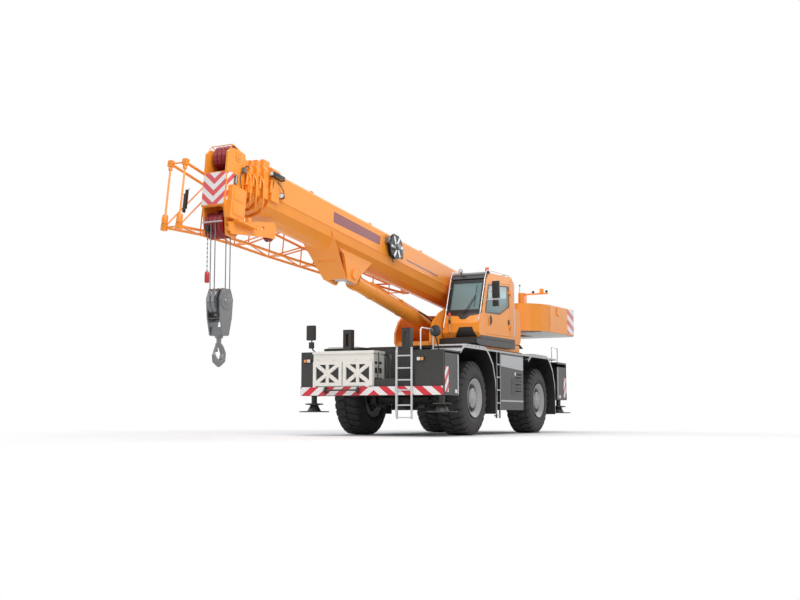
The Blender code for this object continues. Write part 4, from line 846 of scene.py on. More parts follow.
LAYER = 0.0004
low, high = PANEL_HEIGHT - PANEL_Z + 0.035, PANEL_HEIGHT + PANEL_Z - 0.035
bm = bmesh.new()
for x in PANEL_MIDDLES:
    left, right = x - PANEL_X + 0.035, x + PANEL_X - 0.035
    bars = [((left, low), (right, high), 0.085), ((left, high), (right, low), 0.085),
             ((x, low), (x, high), 0.075)]
    bars += [((left - 0.03, z), (right + 0.03, z), 0.075) for z in (low, high)]
    bars += [((edge, low - 0.03), (edge, high + 0.03), 0.075) for edge in (left, right)]
    for k, (start, end, width) in enumerate(bars):
        add_bar(bm, start, end, width, -4.5045 - LAYER * (k + 1), -4.4675)
    add_turned(bm, [(0, 0), (0.075, 0), (0.075, 0.006), (0.026, 0.006), (0.026, 0.001), (0, 0.001)],
               (x, -4.507, PANEL_HEIGHT), (0, -1, 0), 28)
shaped("box_spokes", "box_aluminium", ON_CARRIER, bm)
# The side openings are thin black sheets of painted shade, for the box's shaded inside.
fit("box_side_opening_shade", "black_plastic", ON_CARRIER,
    *[block((0.0795, -4.40, z0), (0.0825, -4.28, z1), 0.001)
        for z0, z1 in ((1.20, 1.30), (1.40, 1.52), (1.60, 1.66))],
    *[block((0.0795, -4.18, z0), (0.0825, -4.06, z1), 0.001)
        for z0, z1 in ((1.20, 1.30), (1.40, 1.52), (1.60, 1.66))])
fit("box_brackets", "chassis_paint", ON_CARRIER,
    *[plate([(-4.49, 1.10), (-4.56, 1.08), (-4.60, 1.00), (-4.56, 0.96), (-4.49, 0.94)], "x", x - 0.02,
        x + 0.02) for x in (-1.10, -0.28)],
    turned(rod(0.018, -0.42, 0.42), (-0.69, -4.56, 1.02), (1, 0, 0), 12))
tubes("front_hoses", "black_plastic", ON_CARRIER, 0.013,
      [[(0.30, -4.40, 1.80), (0.36, -4.43, 1.72), (0.40, -4.42, 1.45), (0.34, -4.40, 1.25),
        (0.24, -4.38, 1.14)],
       [(0.46, -4.40, 1.80), (0.50, -4.43, 1.66), (0.47, -4.42, 1.42), (0.50, -4.40, 1.14)],
       [(0.16, -4.38, 1.86), (0.19, -4.42, 1.60), (0.16, -4.41, 1.30), (0.20, -4.38, 1.14)]],
        flexible=True)

# %% Sides: toolbox band, marker and slats, and the bolts on the fender lips
fit("toolbox_light_bands", "deck_paint", ON_CARRIER,
    plate([(-0.92, 1.66), (0.72, 1.60), (0.72, 1.94), (-0.92, 1.94)], "x", 1.7702, 1.7722),
    plate(rect(-0.92, 0.72, 0.80, 0.84), "x", 1.7702, 1.7735))
fit("side_markers", "clear_lens", ON_CARRIER, block((1.770, 0.06, 1.46), (1.782, 0.14, 1.54), 0.004))
bm = bmesh.new()
add_block(bm, (1.770, -0.16, 0.0), (1.780, 0.50, 0.022), 0.003)
rowed("toolbox_slats", "chassis_paint", ("carrier", CARRIER @ Matrix.Translation((0, 0, 0.98))), bm, 8,
      (0, 0, 0.055))
for side in (-1, 1):
    label = "left" if side > 0 else "right"
    for run, (y, z) in (("front", (-3.05, 2.045)), ("rear", (1.28, 2.045))):
        spot = CARRIER @ facing_way((side * 1.7705, y, z), (side, 0, 0))
        bm = bolt(0.011, 0.008)
        turned_step = spot.to_3x3().inverted() @ Vector((0, 0.235, 0))
        rowed("%s_%s_lip_bolts" % (label, run), "chassis_paint", ("carrier", spot), bm, 5, turned_step,
              30)

# %% [markdown]
# ## The cab's outside
# The shell, door and glass come from the CAD model. What makes it a cab to the eye sits on them: the
# black border printed round the windscreen, rubber seals, a skirt and a lower grille panel, silver
# tube along the pillars and over the roof, mirrors on arms, and lamps.

# %% The windscreen's border, the notch below it and the lower panel
SCREEN_LOW, SCREEN_HIGH, NOTCH_SLOPE = (-1.24, 2.94), (-0.96, 3.80), 0.667


def on_screen(u, z, out):
    """A point of the sloping windscreen plane, moved out of it by a distance."""
    v0, z0 = SCREEN_LOW
    v1, z1 = SCREEN_HIGH
    slope = (v1 - v0) / (z1 - z0)
    length = math.hypot(slope, 1)
    return Vector((u, v0 + slope * (z - z0) - out / length, z - slope * out / length))


def screen_panel(bm, outline, out, thick):
    """A thin panel that follows the windscreen plane, from an outline of (u, z)."""
    add_slab(bm, *[[on_screen(u, z, t) for u, z in outline] for t in (out, out + thick)])


bm = bmesh.new()
for outline in (rect(0.565, 1.510, 2.945, 3.045),
                [(0.565, 3.735), (1.510, 3.735), (1.495, 3.80), (0.580, 3.80)],
                rect(0.565, 0.650, 3.045, 3.735),
                rect(1.425, 1.510, 3.045, 3.735)):
    screen_panel(bm, outline, 0.0015, 0.006)
shaped("windscreen_border", "black_plastic", ON_UPPER, bm)
notch = [(0.57, 2.95), (1.51, 2.95), (1.48, 2.915), (1.22, 2.885), (1.16, 2.835), (1.12, 2.80), (1.00, 2.80),
         (0.96, 2.835), (0.90, 2.885), (0.60, 2.915)]
fit("windscreen_notch", "black_plastic", ON_UPPER,
    slab(*[[(u, SCREEN_LOW[0] - (SCREEN_LOW[1] - z) * NOTCH_SLOPE - out, z) for u, z in notch]
        for out in (0.002, 0.008)]))
panel = [(1.00, -1.409, 2.60), (1.34, -1.409, 2.60), (1.39, -1.420, 2.48), (1.45, -1.356, 2.36),
         (0.87, -1.356, 2.36), (0.94, -1.420, 2.48)]
fit("lower_grille_panel", "black_plastic", ON_UPPER,
    slab(*[[(u, v - out, z) for u, v, z in panel] for out in (0.002, 0.010)],
        caps=((0, 1, 2, 5), (5, 2, 3, 4))))
bm = bmesh.new()
add_block(bm, (1.03, -1.427, 0.0), (1.31, -1.412, 0.010), 0.002)
rowed("lower_grille_bars", "black_plastic", ("upper", UPPER @ Matrix.Translation((0, -0.004, 2.50))),
      bm, 4, (0, 0.0006, 0.024))

# %% Skirt, the door's seal and handle, and the roof's visor
fit("cab_skirt", "black_plastic", ON_UPPER, plate(rect(0.535, 1.540, -1.352, 0.76), "z", 2.3305, 2.40))
WINDOW = [(-1.02, 2.98), (-0.83, 3.66), (0.36, 3.72), (0.36, 3.22), (-0.20, 3.02)]


def grown_outline(outline, gap):
    """The outline pushed outwards from its middle by about gap."""
    middle = Vector((sum(p[0] for p in outline) / len(outline), sum(p[1] for p in outline) / len(outline)))
    return [tuple(Vector(p) + (Vector(p) - middle).normalized() * gap) for p in outline]


def add_ring_plate(bm, inner, outer, start, end):
    """A flat frame between two outlines of (v, z), with start and end along u."""
    loops = [[bm.verts.new((u, v, z)) for v, z in outline]
             for outline, u in ((inner, start), (outer, start), (outer, end), (inner, end))]
    for loop, following in zip(loops, loops[1:] + loops[:1]):
        for i in range(len(loop)):
            j = (i + 1) % len(loop)
            bm.faces.new((loop[i], loop[j], following[j], following[i]))


ring_plate = waiting(add_ring_plate)
fit("door_seal_and_handle_pan", "black_plastic", ON_DOOR,
    ring_plate(grown_outline(WINDOW, 0.002), grown_outline(WINDOW, 0.045), 1.5305, 1.538),
    block((1.531, -0.775, 2.69), (1.537, -0.705, 2.92), 0.012),
    block((1.531, 0.33, 2.76), (1.545, 0.42, 2.88), 0.006))
tubes("door_handle_bar", "black_plastic", ON_DOOR, 0.009,
      [[(1.534, -0.74, 2.72), (1.562, -0.74, 2.745), (1.562, -0.74, 2.865), (1.534, -0.74, 2.89)]],
        bend=0.02)
fit("roof_visor_and_hatch", "chassis_paint", ON_UPPER,
    plate([(-0.985, 3.83), (-0.90, 3.945), (-0.70, 3.995), (-0.70, 3.975), (-0.87, 3.925),
        (-0.95, 3.83)], "x", 0.56, 1.515),
    block((0.70, -0.45, 3.990), (1.38, 0.30, 4.012), 0.01))

# %% Silver tube along the pillars and the roof
tubes("cab_handrails", "bright_tube", ON_UPPER, 0.013,
      [[(1.505, -1.43, 2.74), (1.505, -1.31, 2.93), (1.505, -1.01, 3.83), (1.505, -0.90, 4.02),
        (1.48, -0.62, 4.045), (1.48, 0.45, 4.045), (1.48, 0.70, 3.95)],
       [(0.575, -1.43, 2.60), (0.575, -1.31, 2.93), (0.575, -1.01, 3.83), (0.575, -0.90, 4.02),
        (0.60, -0.62, 4.045), (0.60, 0.45, 4.045), (0.60, 0.70, 3.95)],
       [(1.505, -0.93, 3.98), (0.575, -0.93, 3.98)],
       [(1.48, 0.40, 4.045), (0.60, 0.40, 4.045)]], bend=0.08)
tubes("door_edge_rail", "bright_tube", ON_UPPER, 0.013,
      [[(1.54, 0.60, 2.46), (1.585, 0.60, 2.50), (1.585, 0.60, 3.86), (1.54, 0.60, 3.92)]], bend=0.04)
bm = bmesh.new()
add_block(bm, (1.50, -1.39, 2.75), (1.51, -1.35, 2.80), 0.003)
for z in (3.05, 3.60):
    v = on_screen(0, z, 0.03).y
    for u in (0.575, 1.505):
        add_block(bm, (u - 0.012, v - 0.005, z - 0.02), (u + 0.012, v + 0.04, z + 0.02), 0.003)
shaped("handrail_feet", "bright_tube", ON_UPPER, bm)

# %% Mirrors on their arms, wiper, roof beacon, work lamp and signal column
tubes("mirror_arms", "bright_tube", ON_UPPER, 0.011,
      [[(1.505, -1.13, 3.46), (1.70, -1.24, 3.46), (1.91, -1.24, 3.46)],
       [(1.505, -1.21, 3.25), (1.70, -1.26, 3.25), (1.91, -1.26, 3.25)],
       [(1.91, -1.25, 3.68), (1.91, -1.25, 3.06)]], bend=0.03)
fit("cab_mirror_shells", "black_plastic", ON_UPPER,
    block((1.815, -1.290, 3.28), (2.005, -1.225, 3.70), 0.035),
    block((1.825, -1.290, 3.08), (1.985, -1.225, 3.235), 0.035))
fit("cab_mirror_glasses", "mirror_glass", ON_UPPER,
    plate(rect(1.84, 1.98, 3.31, 3.67), "y", -1.2245, -1.2215),
    plate(rect(1.85, 1.96, 3.11, 3.205), "y", -1.2245, -1.2215))
COLUMN = (0.765, -1.475, 2.60)
pivot, tip = on_screen(1.02, 2.93, 0.030), on_screen(1.30, 3.42, 0.022)
blade_low, blade_high = on_screen(1.30, 3.12, 0.012), on_screen(1.30, 3.66, 0.012)
tubes("wiper", "black_plastic", ON_UPPER, 0.007,
      [[pivot, tip],
       [pivot + Vector((0.05, 0, 0)), tip - Vector((0, 0, 0.05))],
       [blade_low, tip, blade_high]])
fit("lamp_bases", "black_plastic", ON_UPPER,
    turned([(0, 0), (0.055, 0), (0.055, 0.035), (0.046, 0.045), (0, 0.045)], (1.45, -0.75, 3.985)),
    turned([(0, 0.02), (0.012, 0.02), (0.012, 0), (0.012, -0.09), (0, -0.09)], (0.83, -0.94, 4.02),
        sides=10),
    turned([(0, -0.04), (0.030, -0.035), (0.052, -0.005), (0.055, 0.02), (0.047, 0.022)],
        (0.83, -0.97, 4.035), (0, -1, 0.1)),
    turned([(0, 0.09), (0.028, 0.09), (0.028, 0.11), (0.028, 0.18), (0, 0.19)], COLUMN, sides=16),
    turned([(0, 0.26), (0.022, 0.26), (0.022, 0.29), (0, 0.295)], COLUMN, sides=16))
# Columns: name, finish, radius, height of its foot, its own height, place
BEACONS = (("roof_beacon", "salmon_lens", 0.052, 0.045, 0.095, (1.45, -0.75, 3.985)),
           ("column_green", "green_lens", 0.031, 0.19, 0.07, COLUMN),
           ("column_red", "red_lens", 0.031, 0.27, 0.09, COLUMN),
           ("tail_beacon", "salmon_lens", 0.052, 0.02, 0.085, (0.96, 4.08, 3.985)))
for name, look, radius, low, tall, place in BEACONS:
    fit(name, look, ON_UPPER,
        turned([(0, low), (radius, low), (radius, low + tall * 0.75),
            (radius * 0.7, low + tall * 0.95), (0, low + tall)], place, sides=20))
fit("work_lamp_lens", "clear_lens", ON_UPPER,
    turned([(0, 0), (0.046, 0), (0.040, 0.010), (0, 0.014)], (0.83, -0.992, 4.037), (0, -1, 0.1)))
tubes("signal_column_stem", "bright_tube", ON_UPPER, 0.010,
      [[(0.765, -1.41, 2.47), (0.765, -1.475, 2.49), (0.765, -1.475, 2.70)]], bend=0.02)

# %% [markdown]
# ## Inside the cab
# The glass is clear, so the driver's place has to be there: a console behind the windscreen, a
# steering wheel on its column, armrests with their levers, and a floor mat.

# %% Console, steering wheel, levers and mat
fit("cab_console", "black_plastic", ON_UPPER,
    plate([(-1.26, 2.40), (-1.30, 2.70), (-1.16, 2.95), (-1.00, 2.98), (-0.94, 2.90), (-1.00, 2.40)],
        "x", 0.72, 1.36),
    block((0.60, -0.95, 2.40), (0.72, 0.30, 2.86), 0.02),
    block((0.62, -1.00, 3.00), (0.64, -0.80, 3.22), 0.01))
WHEEL, WHEEL_AXIS, WHEEL_RADIUS, GRIP = (1.04, -0.66, 3.06), (0, -0.45, 1), 0.19, 0.014
angles = [math.pi * k / 4 for k in range(8)]
rim_profile = [(WHEEL_RADIUS + GRIP * math.cos(a), GRIP * math.sin(a)) for a in angles]
fit("steering_wheel", "black_plastic", ON_UPPER,
    turned(rim_profile, WHEEL, WHEEL_AXIS, 32, closed=True),
    turned([(0, -0.03), (0.05, -0.02), (0.05, 0.01), (0, 0.02)], WHEEL, WHEEL_AXIS, 16))
tubes("steering_column", "black_plastic", ON_UPPER, 0.014,
      [[(1.04, -0.66, 3.05), (1.04, -0.80, 2.74), (1.04, -0.92, 2.60)],
       [(0.86, -0.66, 3.06), (1.22, -0.66, 3.06)],
       [(1.04, -0.66, 3.05), (1.04, -0.50, 2.98)]])
tubes("armrest_levers", "black_plastic", ON_UPPER, 0.017,
      [[(0.78, -0.24, 2.99), (0.78, -0.27, 3.14)],
       [(1.30, -0.24, 2.99), (1.30, -0.27, 3.14)]])
fit("floor_mat", "tyre_rubber", ON_UPPER, block((0.62, -1.10, 2.382), (1.45, 0.66, 2.392), 0.003))

# %% [markdown]
# ## Tail and turntable
# The counterweight is a plain casting, so its few marks matter: striped tape on the corner, a raised
# lifting eye, and under it a pale plate that is painted light, for the light the floor throws up on its
# underside. Hoses leave the turntable in a sagging bundle towards the lift cylinder. The winch drums
# carry rope, which is drawn as the turns it is.

# %% Counterweight tape, lifting eyes and the plate of painted light below
bm = bmesh.new()
for side in (1, -1):
    outline = [(side * 1.601, 4.42), (side * 1.601, 4.9403), (side * 1.5507, 5.0707), (side * 1.4203, 5.1307),
               (side * 1.3001, 5.1406), (side * 0.75, 5.1406)]
    rows = [[bm.verts.new((u, v, z)) for u, v in outline] for z in (2.80, 3.49)]
    inner = [[bm.verts.new((u - side * 0.0006, v - 0.0003, z)) for u, v in outline] for z in (2.80, 3.49)]
    for i in range(len(outline) - 1):
        bm.faces.new((rows[0][i], rows[0][i + 1], rows[1][i + 1], rows[1][i]))
        bm.faces.new((inner[0][i], inner[0][i + 1], inner[1][i + 1], inner[1][i]))
        for ring, other in ((rows[0], inner[0]), (rows[1], inner[1])):
            bm.faces.new((ring[i], ring[i + 1], other[i + 1], other[i]))
    for i in (0, -1):
        bm.faces.new((rows[0][i], rows[1][i], inner[1][i], inner[0][i]))
shaped("counterweight_tape", "tail_tape", ON_UPPER, bm)
fit("lifting_eye_bars", "crane_paint", ON_UPPER,
    *[block((side * 1.612 - 0.012, 3.56, 3.375), (side * 1.612 + 0.012, 3.84, 3.41), 0.005)
        for side in (1, -1)])
# Pale plate under the counterweight: painted light, for the floor's light on the underside.
fit("counterweight_underside_light", "pale_plate", ON_UPPER,
    plate([(0.60, 2.70), (1.50, 2.70), (1.58, 3.05), (1.58, 4.93), (1.53, 5.05), (1.40, 5.11),
        (-1.40, 5.11), (-1.53, 5.05), (-1.58, 4.93), (-1.58, 3.05), (-1.50, 2.70), (-0.60, 2.70),
        (-0.60, 4.30), (0.60, 4.30)], "z", 2.735, 2.7595))

# %% Rope on the winch drums
ROPE_WIDTH, ROPE_TURNS, ARC_STEPS = 0.26, 14, 5
for name in ("main_winch", "auxiliary_winch"):
    low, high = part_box(name)
    middle = (low + high) / 2
    radius = (high.z - low.z) / 2
    profile = [(radius * 0.5, -ROPE_WIDTH)]
    for k in range(ROPE_TURNS):
        for t in range(ARC_STEPS):
            bulge = 0.010 * math.sin(math.pi * (t / ARC_STEPS))
            reach = -ROPE_WIDTH + 2 * ROPE_WIDTH * (k + t / ARC_STEPS) / ROPE_TURNS
            profile.append((radius * 0.80 + bulge, reach))
    profile += [(radius * 0.80, ROPE_WIDTH), (radius * 0.5, ROPE_WIDTH)]
    fit(name + "_rope", "wire_rope", ("upper", Matrix.Identity(4)),
        turned(profile, middle, (math.cos(SLEW), math.sin(SLEW), 0), 40, closed=True), crease=60)

# %% Beam under the cab, hoses of the turntable, ring bolts, antenna and tail lamps
fit("cab_support_beam", "crane_paint", ON_UPPER,
    block((1.00, -0.95, 2.10), (1.38, 0.72, 2.195), 0.02),
    block((1.00, 0.78, 2.11), (1.30, 1.62, 2.30), 0.03))
paths = []
for k in range(5):
    u = 0.22 + 0.035 * k
    paths.append([(u, -2.05, 2.96 - 0.02 * k), (u + 0.03, -1.80, 2.90 - 0.03 * k),
                 (u + 0.06, -1.50, 2.80 - 0.04 * k), (u + 0.07, -1.22, 2.68 - 0.05 * k),
                 (u + 0.05, -0.95, 2.50 - 0.04 * k), (u, -0.75, 2.36)])
tubes("lift_cylinder_hoses", "black_plastic", ON_UPPER, 0.017, paths, flexible=True)
ringed("slew_ring_bolts", "machined_steel", ("carrier", CARRIER @ Matrix.Translation((0, 0, 2.072))),
      bolt(0.020, 0.016), 48, 1.02, 30)
tubes("antenna", "black_plastic", ON_UPPER, 0.007, [[(0.90, 2.62, 3.49), (0.90, 2.62, 4.02)]])
fit("antenna_and_tail_lamps", "black_plastic", ON_UPPER,
    turned([(0, -0.02), (0.020, -0.012), (0.024, 0.008), (0.014, 0.026), (0, 0.030)],
        (0.90, 2.62, 4.03), sides=16),
    turned([(0, 0), (0.035, 0), (0.030, 0.05), (0, 0.05)], (0.90, 2.62, 3.50), sides=16),
    *[turned([(0, -0.03), (0.022, -0.028), (0.040, 0.030), (0, 0.034)], (u, 4.08, 3.995), (0, 1, 0.2),
        sides=16) for u in (0.69, 1.10)])

# %% [markdown]
# ## The boom
# Five sections slide in each other, so a fitting rides on its own section. The base section carries
# a plain maroon band where a fleet would put its colours, a cable reel with its leads, lamps on
# brackets and rope guides. Ropes run along the top, one to each winch.

# %% Maroon band, thin line, rope guides and seams
SIDE = 0.4302
fit("maroon_bands", "maroon_band", ON_BOOM,
    *[plate([(-8.10, 0.07), (-8.12, 0.30), (-6.13, 0.30), (-6.15, 0.10)], "x", side * SIDE,
        side * (SIDE + 0.002)) for side in (1, -1)],
    *[plate([(-4.86, 0.09), (-3.27, 0.09), (-3.23, 0.05), (-4.85, 0.05)], "x", side * SIDE,
        side * (SIDE + 0.002)) for side in (1, -1)])
bm = bmesh.new()
for s in (1.2, 3.94, 6.4, 8.81):
    for u in (-0.30, 0.30):
        add_block(bm, (u - 0.012, -s - 0.05, 0.465), (u + 0.012, -s + 0.05, 0.545), 0.006)
    add_turned(bm, rod(0.028, -0.30, 0.30), (0, -s, 0.515), (1, 0, 0), 14)
shaped("rope_guides", "crane_paint", ON_BOOM, bm)
tubes("hoist_rope_on_base", "wire_rope", ON_BOOM, 0.011,
      [[(u, -0.35, 0.556), (u, -10.95, 0.556)] for u in (-0.10, 0.06)])
tubes("hoist_rope_at_head", "wire_rope", ON_HEAD, 0.011,
      [[(u, -11.10, 0.62), (u, -11.20, 0.655)] for u in (-0.10, 0.06)])
fit("boom_side_seams", "crane_paint", ON_BOOM,
    *[block((side * 0.431 - 0.006, -10.45, -0.062), (side * 0.431 + 0.006, -0.30, -0.050), 0.003)
        for side in (1, -1)])

# %% Cable reel: ribbed drum, spokes, motor and leads
REEL = (-5.57, 0.19)
bm = bmesh.new()
for k in range(9):
    u = SIDE + 0.054 + 0.005 * k
    add_turned(bm, rect(0.205, 0.225, 0, 0.004), (u, *REEL), (1, 0, 0), 36, closed=True)
shaped("reel_cable_turns", "black_plastic", ON_BOOM, bm)
bm = bmesh.new()
add_block(bm, (-0.02, 0.06, 0.0), (0.20, 0.0, 0.012), 0.004)
ringed("reel_spokes", "bright_tube", ("boom", BOOM @ facing_way((SIDE + 0.121, *REEL), (1, 0, 0))), bm,
      6, 0.06)
fit("reel_motor_and_boxes", "machined_steel", ON_BOOM,
    turned([(0, 0.10), (0.075, 0.10), (0.075, 0.19), (0.060, 0.205), (0, 0.205)], (SIDE, *REEL),
        (1, 0, 0), 24),
    block((SIDE, -5.93, 0.20), (SIDE + 0.10, -5.83, 0.34), 0.012),
    block((SIDE, -5.26, 0.12), (SIDE + 0.08, -5.14, 0.28), 0.012))
tubes("reel_leads", "black_plastic", ON_BOOM, 0.014,
      [[(SIDE + 0.07, -5.80, 0.28), (SIDE + 0.14, -5.92, 0.16), (SIDE + 0.09, -5.72, -0.08),
        (SIDE + 0.03, -5.52, -0.15)],
       [(SIDE + 0.09, -5.42, 0.05), (SIDE + 0.13, -5.30, -0.02), (SIDE + 0.05, -5.16, 0.10)],
       [(SIDE + 0.08, -5.86, 0.34), (SIDE + 0.12, -5.76, 0.44), (SIDE + 0.06, -5.52, 0.46),
        (SIDE + 0.04, -5.25, 0.30)]], flexible=True)

# %% Lamps and their brackets at the front of the base section
BOOM_LAMP = ((0.50, -10.12, 0.02), (0.25, -1, 0))
fit("boom_lamp_shells", "black_plastic", ON_BOOM,
    block((0.462, -10.52, 0.305), (0.552, -10.12, 0.40), 0.02),
    turned([(0, -0.05), (0.05, -0.045), (0.062, 0), (0.062, 0.03), (0.052, 0.032)], *BOOM_LAMP))
fit("boom_lamp_lenses", "clear_lens", ON_BOOM,
    turned([(0, 0.026), (0.053, 0.026), (0.045, 0.034), (0, 0.038)], *BOOM_LAMP),
    block((0.475, -10.53, 0.318), (0.540, -10.518, 0.388), 0.004))
tubes("boom_lamp_leads", "black_plastic", ON_BOOM, 0.008,
      [[(0.44, -10.30, 0.30), (0.50, -10.22, 0.22), (0.52, -10.10, 0.12), (0.50, -10.06, 0.05)],
       [(0.44, -10.35, 0.33), (0.48, -10.40, 0.20), (0.46, -10.36, 0.05), (0.44, -10.2, -0.03)]],
        flexible=True)

# %% [markdown]
# ## Collars and hoses at the front of the boom
# Each section ends in a collar with a locking cylinder, bolts and hoses that drop in loops from one
# section to the next. They crowd together there, which gives the front of the boom its look.

# %% Collar fittings on each section, and the cover of the lift cylinder's bracket
COLLAR_STEP = 0.048
# Columns: body, how many steps the section is smaller, place along the boom, half width at the hose
COLLARS = (("boom", 0, 10.45, 0.42), ("boom_2", 1, 10.74, 0.37), ("boom_3", 2, 10.90, 0.32),
           ("boom_4", 3, 11.03, 0.28))
for body, step, s, _ in COLLARS:
    half = 0.43 - COLLAR_STEP * step
    spot = BOOM @ facing_way((half + 0.012, -s, 0.30), (1, 0, 0))
    inward = spot.to_3x3().inverted() @ (BOOM.to_3x3() @ Vector((0, 0, -0.12)))
    rowed(body + "_collar_bolts", "crane_paint", (body, spot), bolt(0.013, 0.010), 5, inward, 30)
    fit(body + "_lock_cylinder", "crane_paint", (body, BOOM),
        turned([(0, -0.10), (0.026, -0.10), (0.026, 0.04), (0.015, 0.045), (0.015, 0.12), (0, 0.12)],
            (half + 0.035, -s, 0.10), (0, 0, 1), 14),
        block((half, -s - 0.03, -0.02), (half + 0.05, -s + 0.03, 0.005), 0.004),
        block((half, -s - 0.03, 0.215), (half + 0.05, -s + 0.03, 0.24), 0.004))
COVER_FOOT, COVER_LOW, COVER_LEAN = 7.20, -0.93, 1.15
half_cover = [(0.285, -0.93), (0.432, -0.10), (0.366, -0.235), (0.212, -0.372), (0.0, -0.424)]
outline = half_cover + [(-u, h) for u, h in reversed(half_cover[:-1])]
fit("cylinder_bracket_cover", "crane_paint", ON_BOOM,
    slab(*[[(u, -(COVER_FOOT + (h - COVER_LOW) * COVER_LEAN + out), h) for u, h in outline]
        for out in (0.0, 0.02)]))
for body, _, s, half in COLLARS[1:]:
    u = half + 0.06
    path = [(u - 0.03, -s + 0.03, 0.24), (u + 0.03, -s + 0.05, 0.10), (u + 0.035, -s + 0.07, -0.14),
            (u, -s + 0.12, -0.32), (u - 0.07, -s + 0.18, -0.41)]
    tubes(body + "_collar_hose", "crane_paint", (body, BOOM), 0.017, [path], flexible=True)

# %% [markdown]
# ## The boom head
# Striped tape covers the front plate and one cheek. Below it a dark mouth shows the lower sheaves;
# a pale bar crosses them and a guard of thin rod stands over the upper ones.

# %% Head: tape, mouth, rope bar, guards, pin caps, lids, sensor and wiring
fit("head_front_tape", "head_tape", ON_HEAD,
    plate(rect(-0.255, 0.255, -0.535, 0.085), "y", -11.5835, -11.5805))
fit("head_cheek_tape", "cheek_tape", ON_HEAD,
    plate([(-11.575, 0.085), (-11.36, 0.12), (-11.33, -0.45), (-11.535, -0.45), (-11.54, -0.20)], "x",
        0.2655, 0.268))
fit("rope_retaining_bar", "pale_plate", ON_HEAD,
    turned(rod(0.014, -0.235, 0.235), (0, -11.545, -0.86), (1, 0, 0), 12))
fit("head_mouth_back", "sheave_red", ON_HEAD,
    plate(rect(-0.224, 0.224, -0.57, -0.36), "y", -11.105, -11.095))
fit("head_mouth_lip", "crane_paint", ON_HEAD,
    plate([(-0.222, -0.60), (-0.222, -0.545), (0.222, -0.545), (0.222, -0.60), (0.190, -0.572),
        (-0.190, -0.572)], "y", -11.555, -11.545))
tubes("sheave_guards", "crane_paint", ON_HEAD, 0.009,
      [[(-0.245, -11.10, 0.56), (-0.245, -11.46, 0.655), (0.245, -11.46, 0.655), (0.245, -11.10, 0.56)],
       [(-0.245, -11.46, 0.655), (-0.245, -11.56, 0.50)],
       [(0.245, -11.46, 0.655), (0.245, -11.56, 0.50)]], bend=0.02)
# Columns: name, place, radius of the ring of bolts
PINS = (("top_pin", (0.266, -11.27, 0.46), 0.055),
        ("low_pin", (0.266, -11.27, -0.86), 0.06))
for name, place, radius in PINS:
    fit(name + "_cap", "crane_paint", ON_HEAD,
        turned([(0, 0), (0.095, 0), (0.095, 0.010), (0.080, 0.014), (0.04, 0.014), (0.035, 0.022),
            (0, 0.024)], place, (1, 0, 0), 28))
    ringed(name + "_bolts", "machined_steel", ("boom_head",
          BOOM @ facing_way(Vector(place) + Vector((0.013, 0, 0)), (1, 0, 0))), bolt(0.009, 0.007), 6,
          radius, 30)
fit("side_box_lids", "crane_paint", ON_HEAD,
    block((0.3705, -11.44, -0.70), (0.378, -11.14, -0.48), 0.004),
    block((0.3705, -11.44, -0.42), (0.378, -11.14, -0.22), 0.004),
    block((0.355, -11.02, -0.775), (0.44, -10.94, -0.66), 0.012))
fit("head_sensor", "machined_steel", ON_HEAD,
    turned([(0, -0.09), (0.03, -0.09), (0.03, 0.08), (0.02, 0.09), (0, 0.09)], (0.30, -11.33, 0.0),
        (0, 0, 1), 16),
    block((0.27, -11.16, 0.19), (0.34, -11.09, 0.29), 0.01))
tubes("head_wiring", "black_plastic", ON_HEAD, 0.008,
      [[(0.275, -11.16, 0.20), (0.30, -11.20, 0.05), (0.29, -11.12, -0.15), (0.30, -11.05, -0.40)],
       [(0.28, -11.10, 0.28), (0.33, -11.05, 0.35), (0.34, -10.98, 0.30)]], flexible=True)

# %% [markdown]
# ## Hook block
# The block hangs on four falls of rope. Its cheeks are dished steel plates held by a big centre nut,
# and the hook has a spring latch across its mouth. A small weight with a chain hangs round one fall:
# when the block lifts it, the hoist stops.

# %% Cheek dishes and bolts, side weights, hook latch, and the switch weight on its chain
HANG = BOOM @ Matrix.Translation((0, -11.27, -0.86)) @ Matrix.Rotation(LUFF, 4, "X")
ON_BLOCK, DROP, FALL = ("hook_block", HANG), 1.43, (-0.12, -0.235)
for side in (1, -1):
    label = "left" if side > 0 else "right"
    fit(label + "_block_dish", "machined_steel", ON_BLOCK,
        turned([(0, 0), (0.165, 0), (0.160, 0.010), (0.10, 0.016), (0.07, 0.016), (0.06, 0.030),
            (0, 0.034)], (side * 0.1605, 0, -DROP), (side, 0, 0), 32))
    ringed(label + "_block_bolts", "machined_steel",
          ("hook_block", HANG @ facing_way((side * 0.173, 0, -DROP), (side, 0, 0))),
          bolt(0.010, 0.008), 8, 0.125, 30)
fit("block_weights", "chassis_paint", ON_BLOCK,
    block((-0.125, -0.19, -DROP - 0.29), (-0.10, 0.19, -DROP + 0.02), 0.01),
    block((0.10, -0.19, -DROP - 0.29), (0.125, 0.19, -DROP + 0.02), 0.01))
ON_HOOK = ("hook", HANG @ Matrix.Translation((0, 0, -DROP - 0.63)))
fit("hook_latch", "machined_steel", ON_HOOK,
    block((-0.018, -0.085, -0.30), (0.018, -0.045, -0.14), 0.008),
    plate([(-0.06, -0.15), (-0.04, -0.15), (-0.125, -0.315), (-0.145, -0.30)], "x", -0.022, 0.022))
fit("hook_collar", "machined_steel", ON_HOOK,
    turned([(0, 0), (0.075, 0), (0.075, -0.035), (0.06, -0.045), (0, -0.045)], (0, 0, -0.001),
        sides=24))
fit("switch_weight", "signal_red", ON_BLOCK,
    turned([(0, -0.11), (0.035, -0.11), (0.045, -0.09), (0.045, 0.07), (0.03, 0.10), (0, 0.10)],
        (*FALL, -0.98), sides=20))
LINK, WIRE = 0.016, 0.004
bm = bmesh.new()
for k in range(9):
    z = -0.86 + 0.083 * k
    ring = [(LINK + WIRE * math.cos(a), WIRE * math.sin(a)) for a in [math.pi * q / 3 for q in range(6)]]
    add_turned(bm, ring, (*FALL, z), (1, 0, 0) if k % 2 else (0, 1, 0), 12, closed=True)
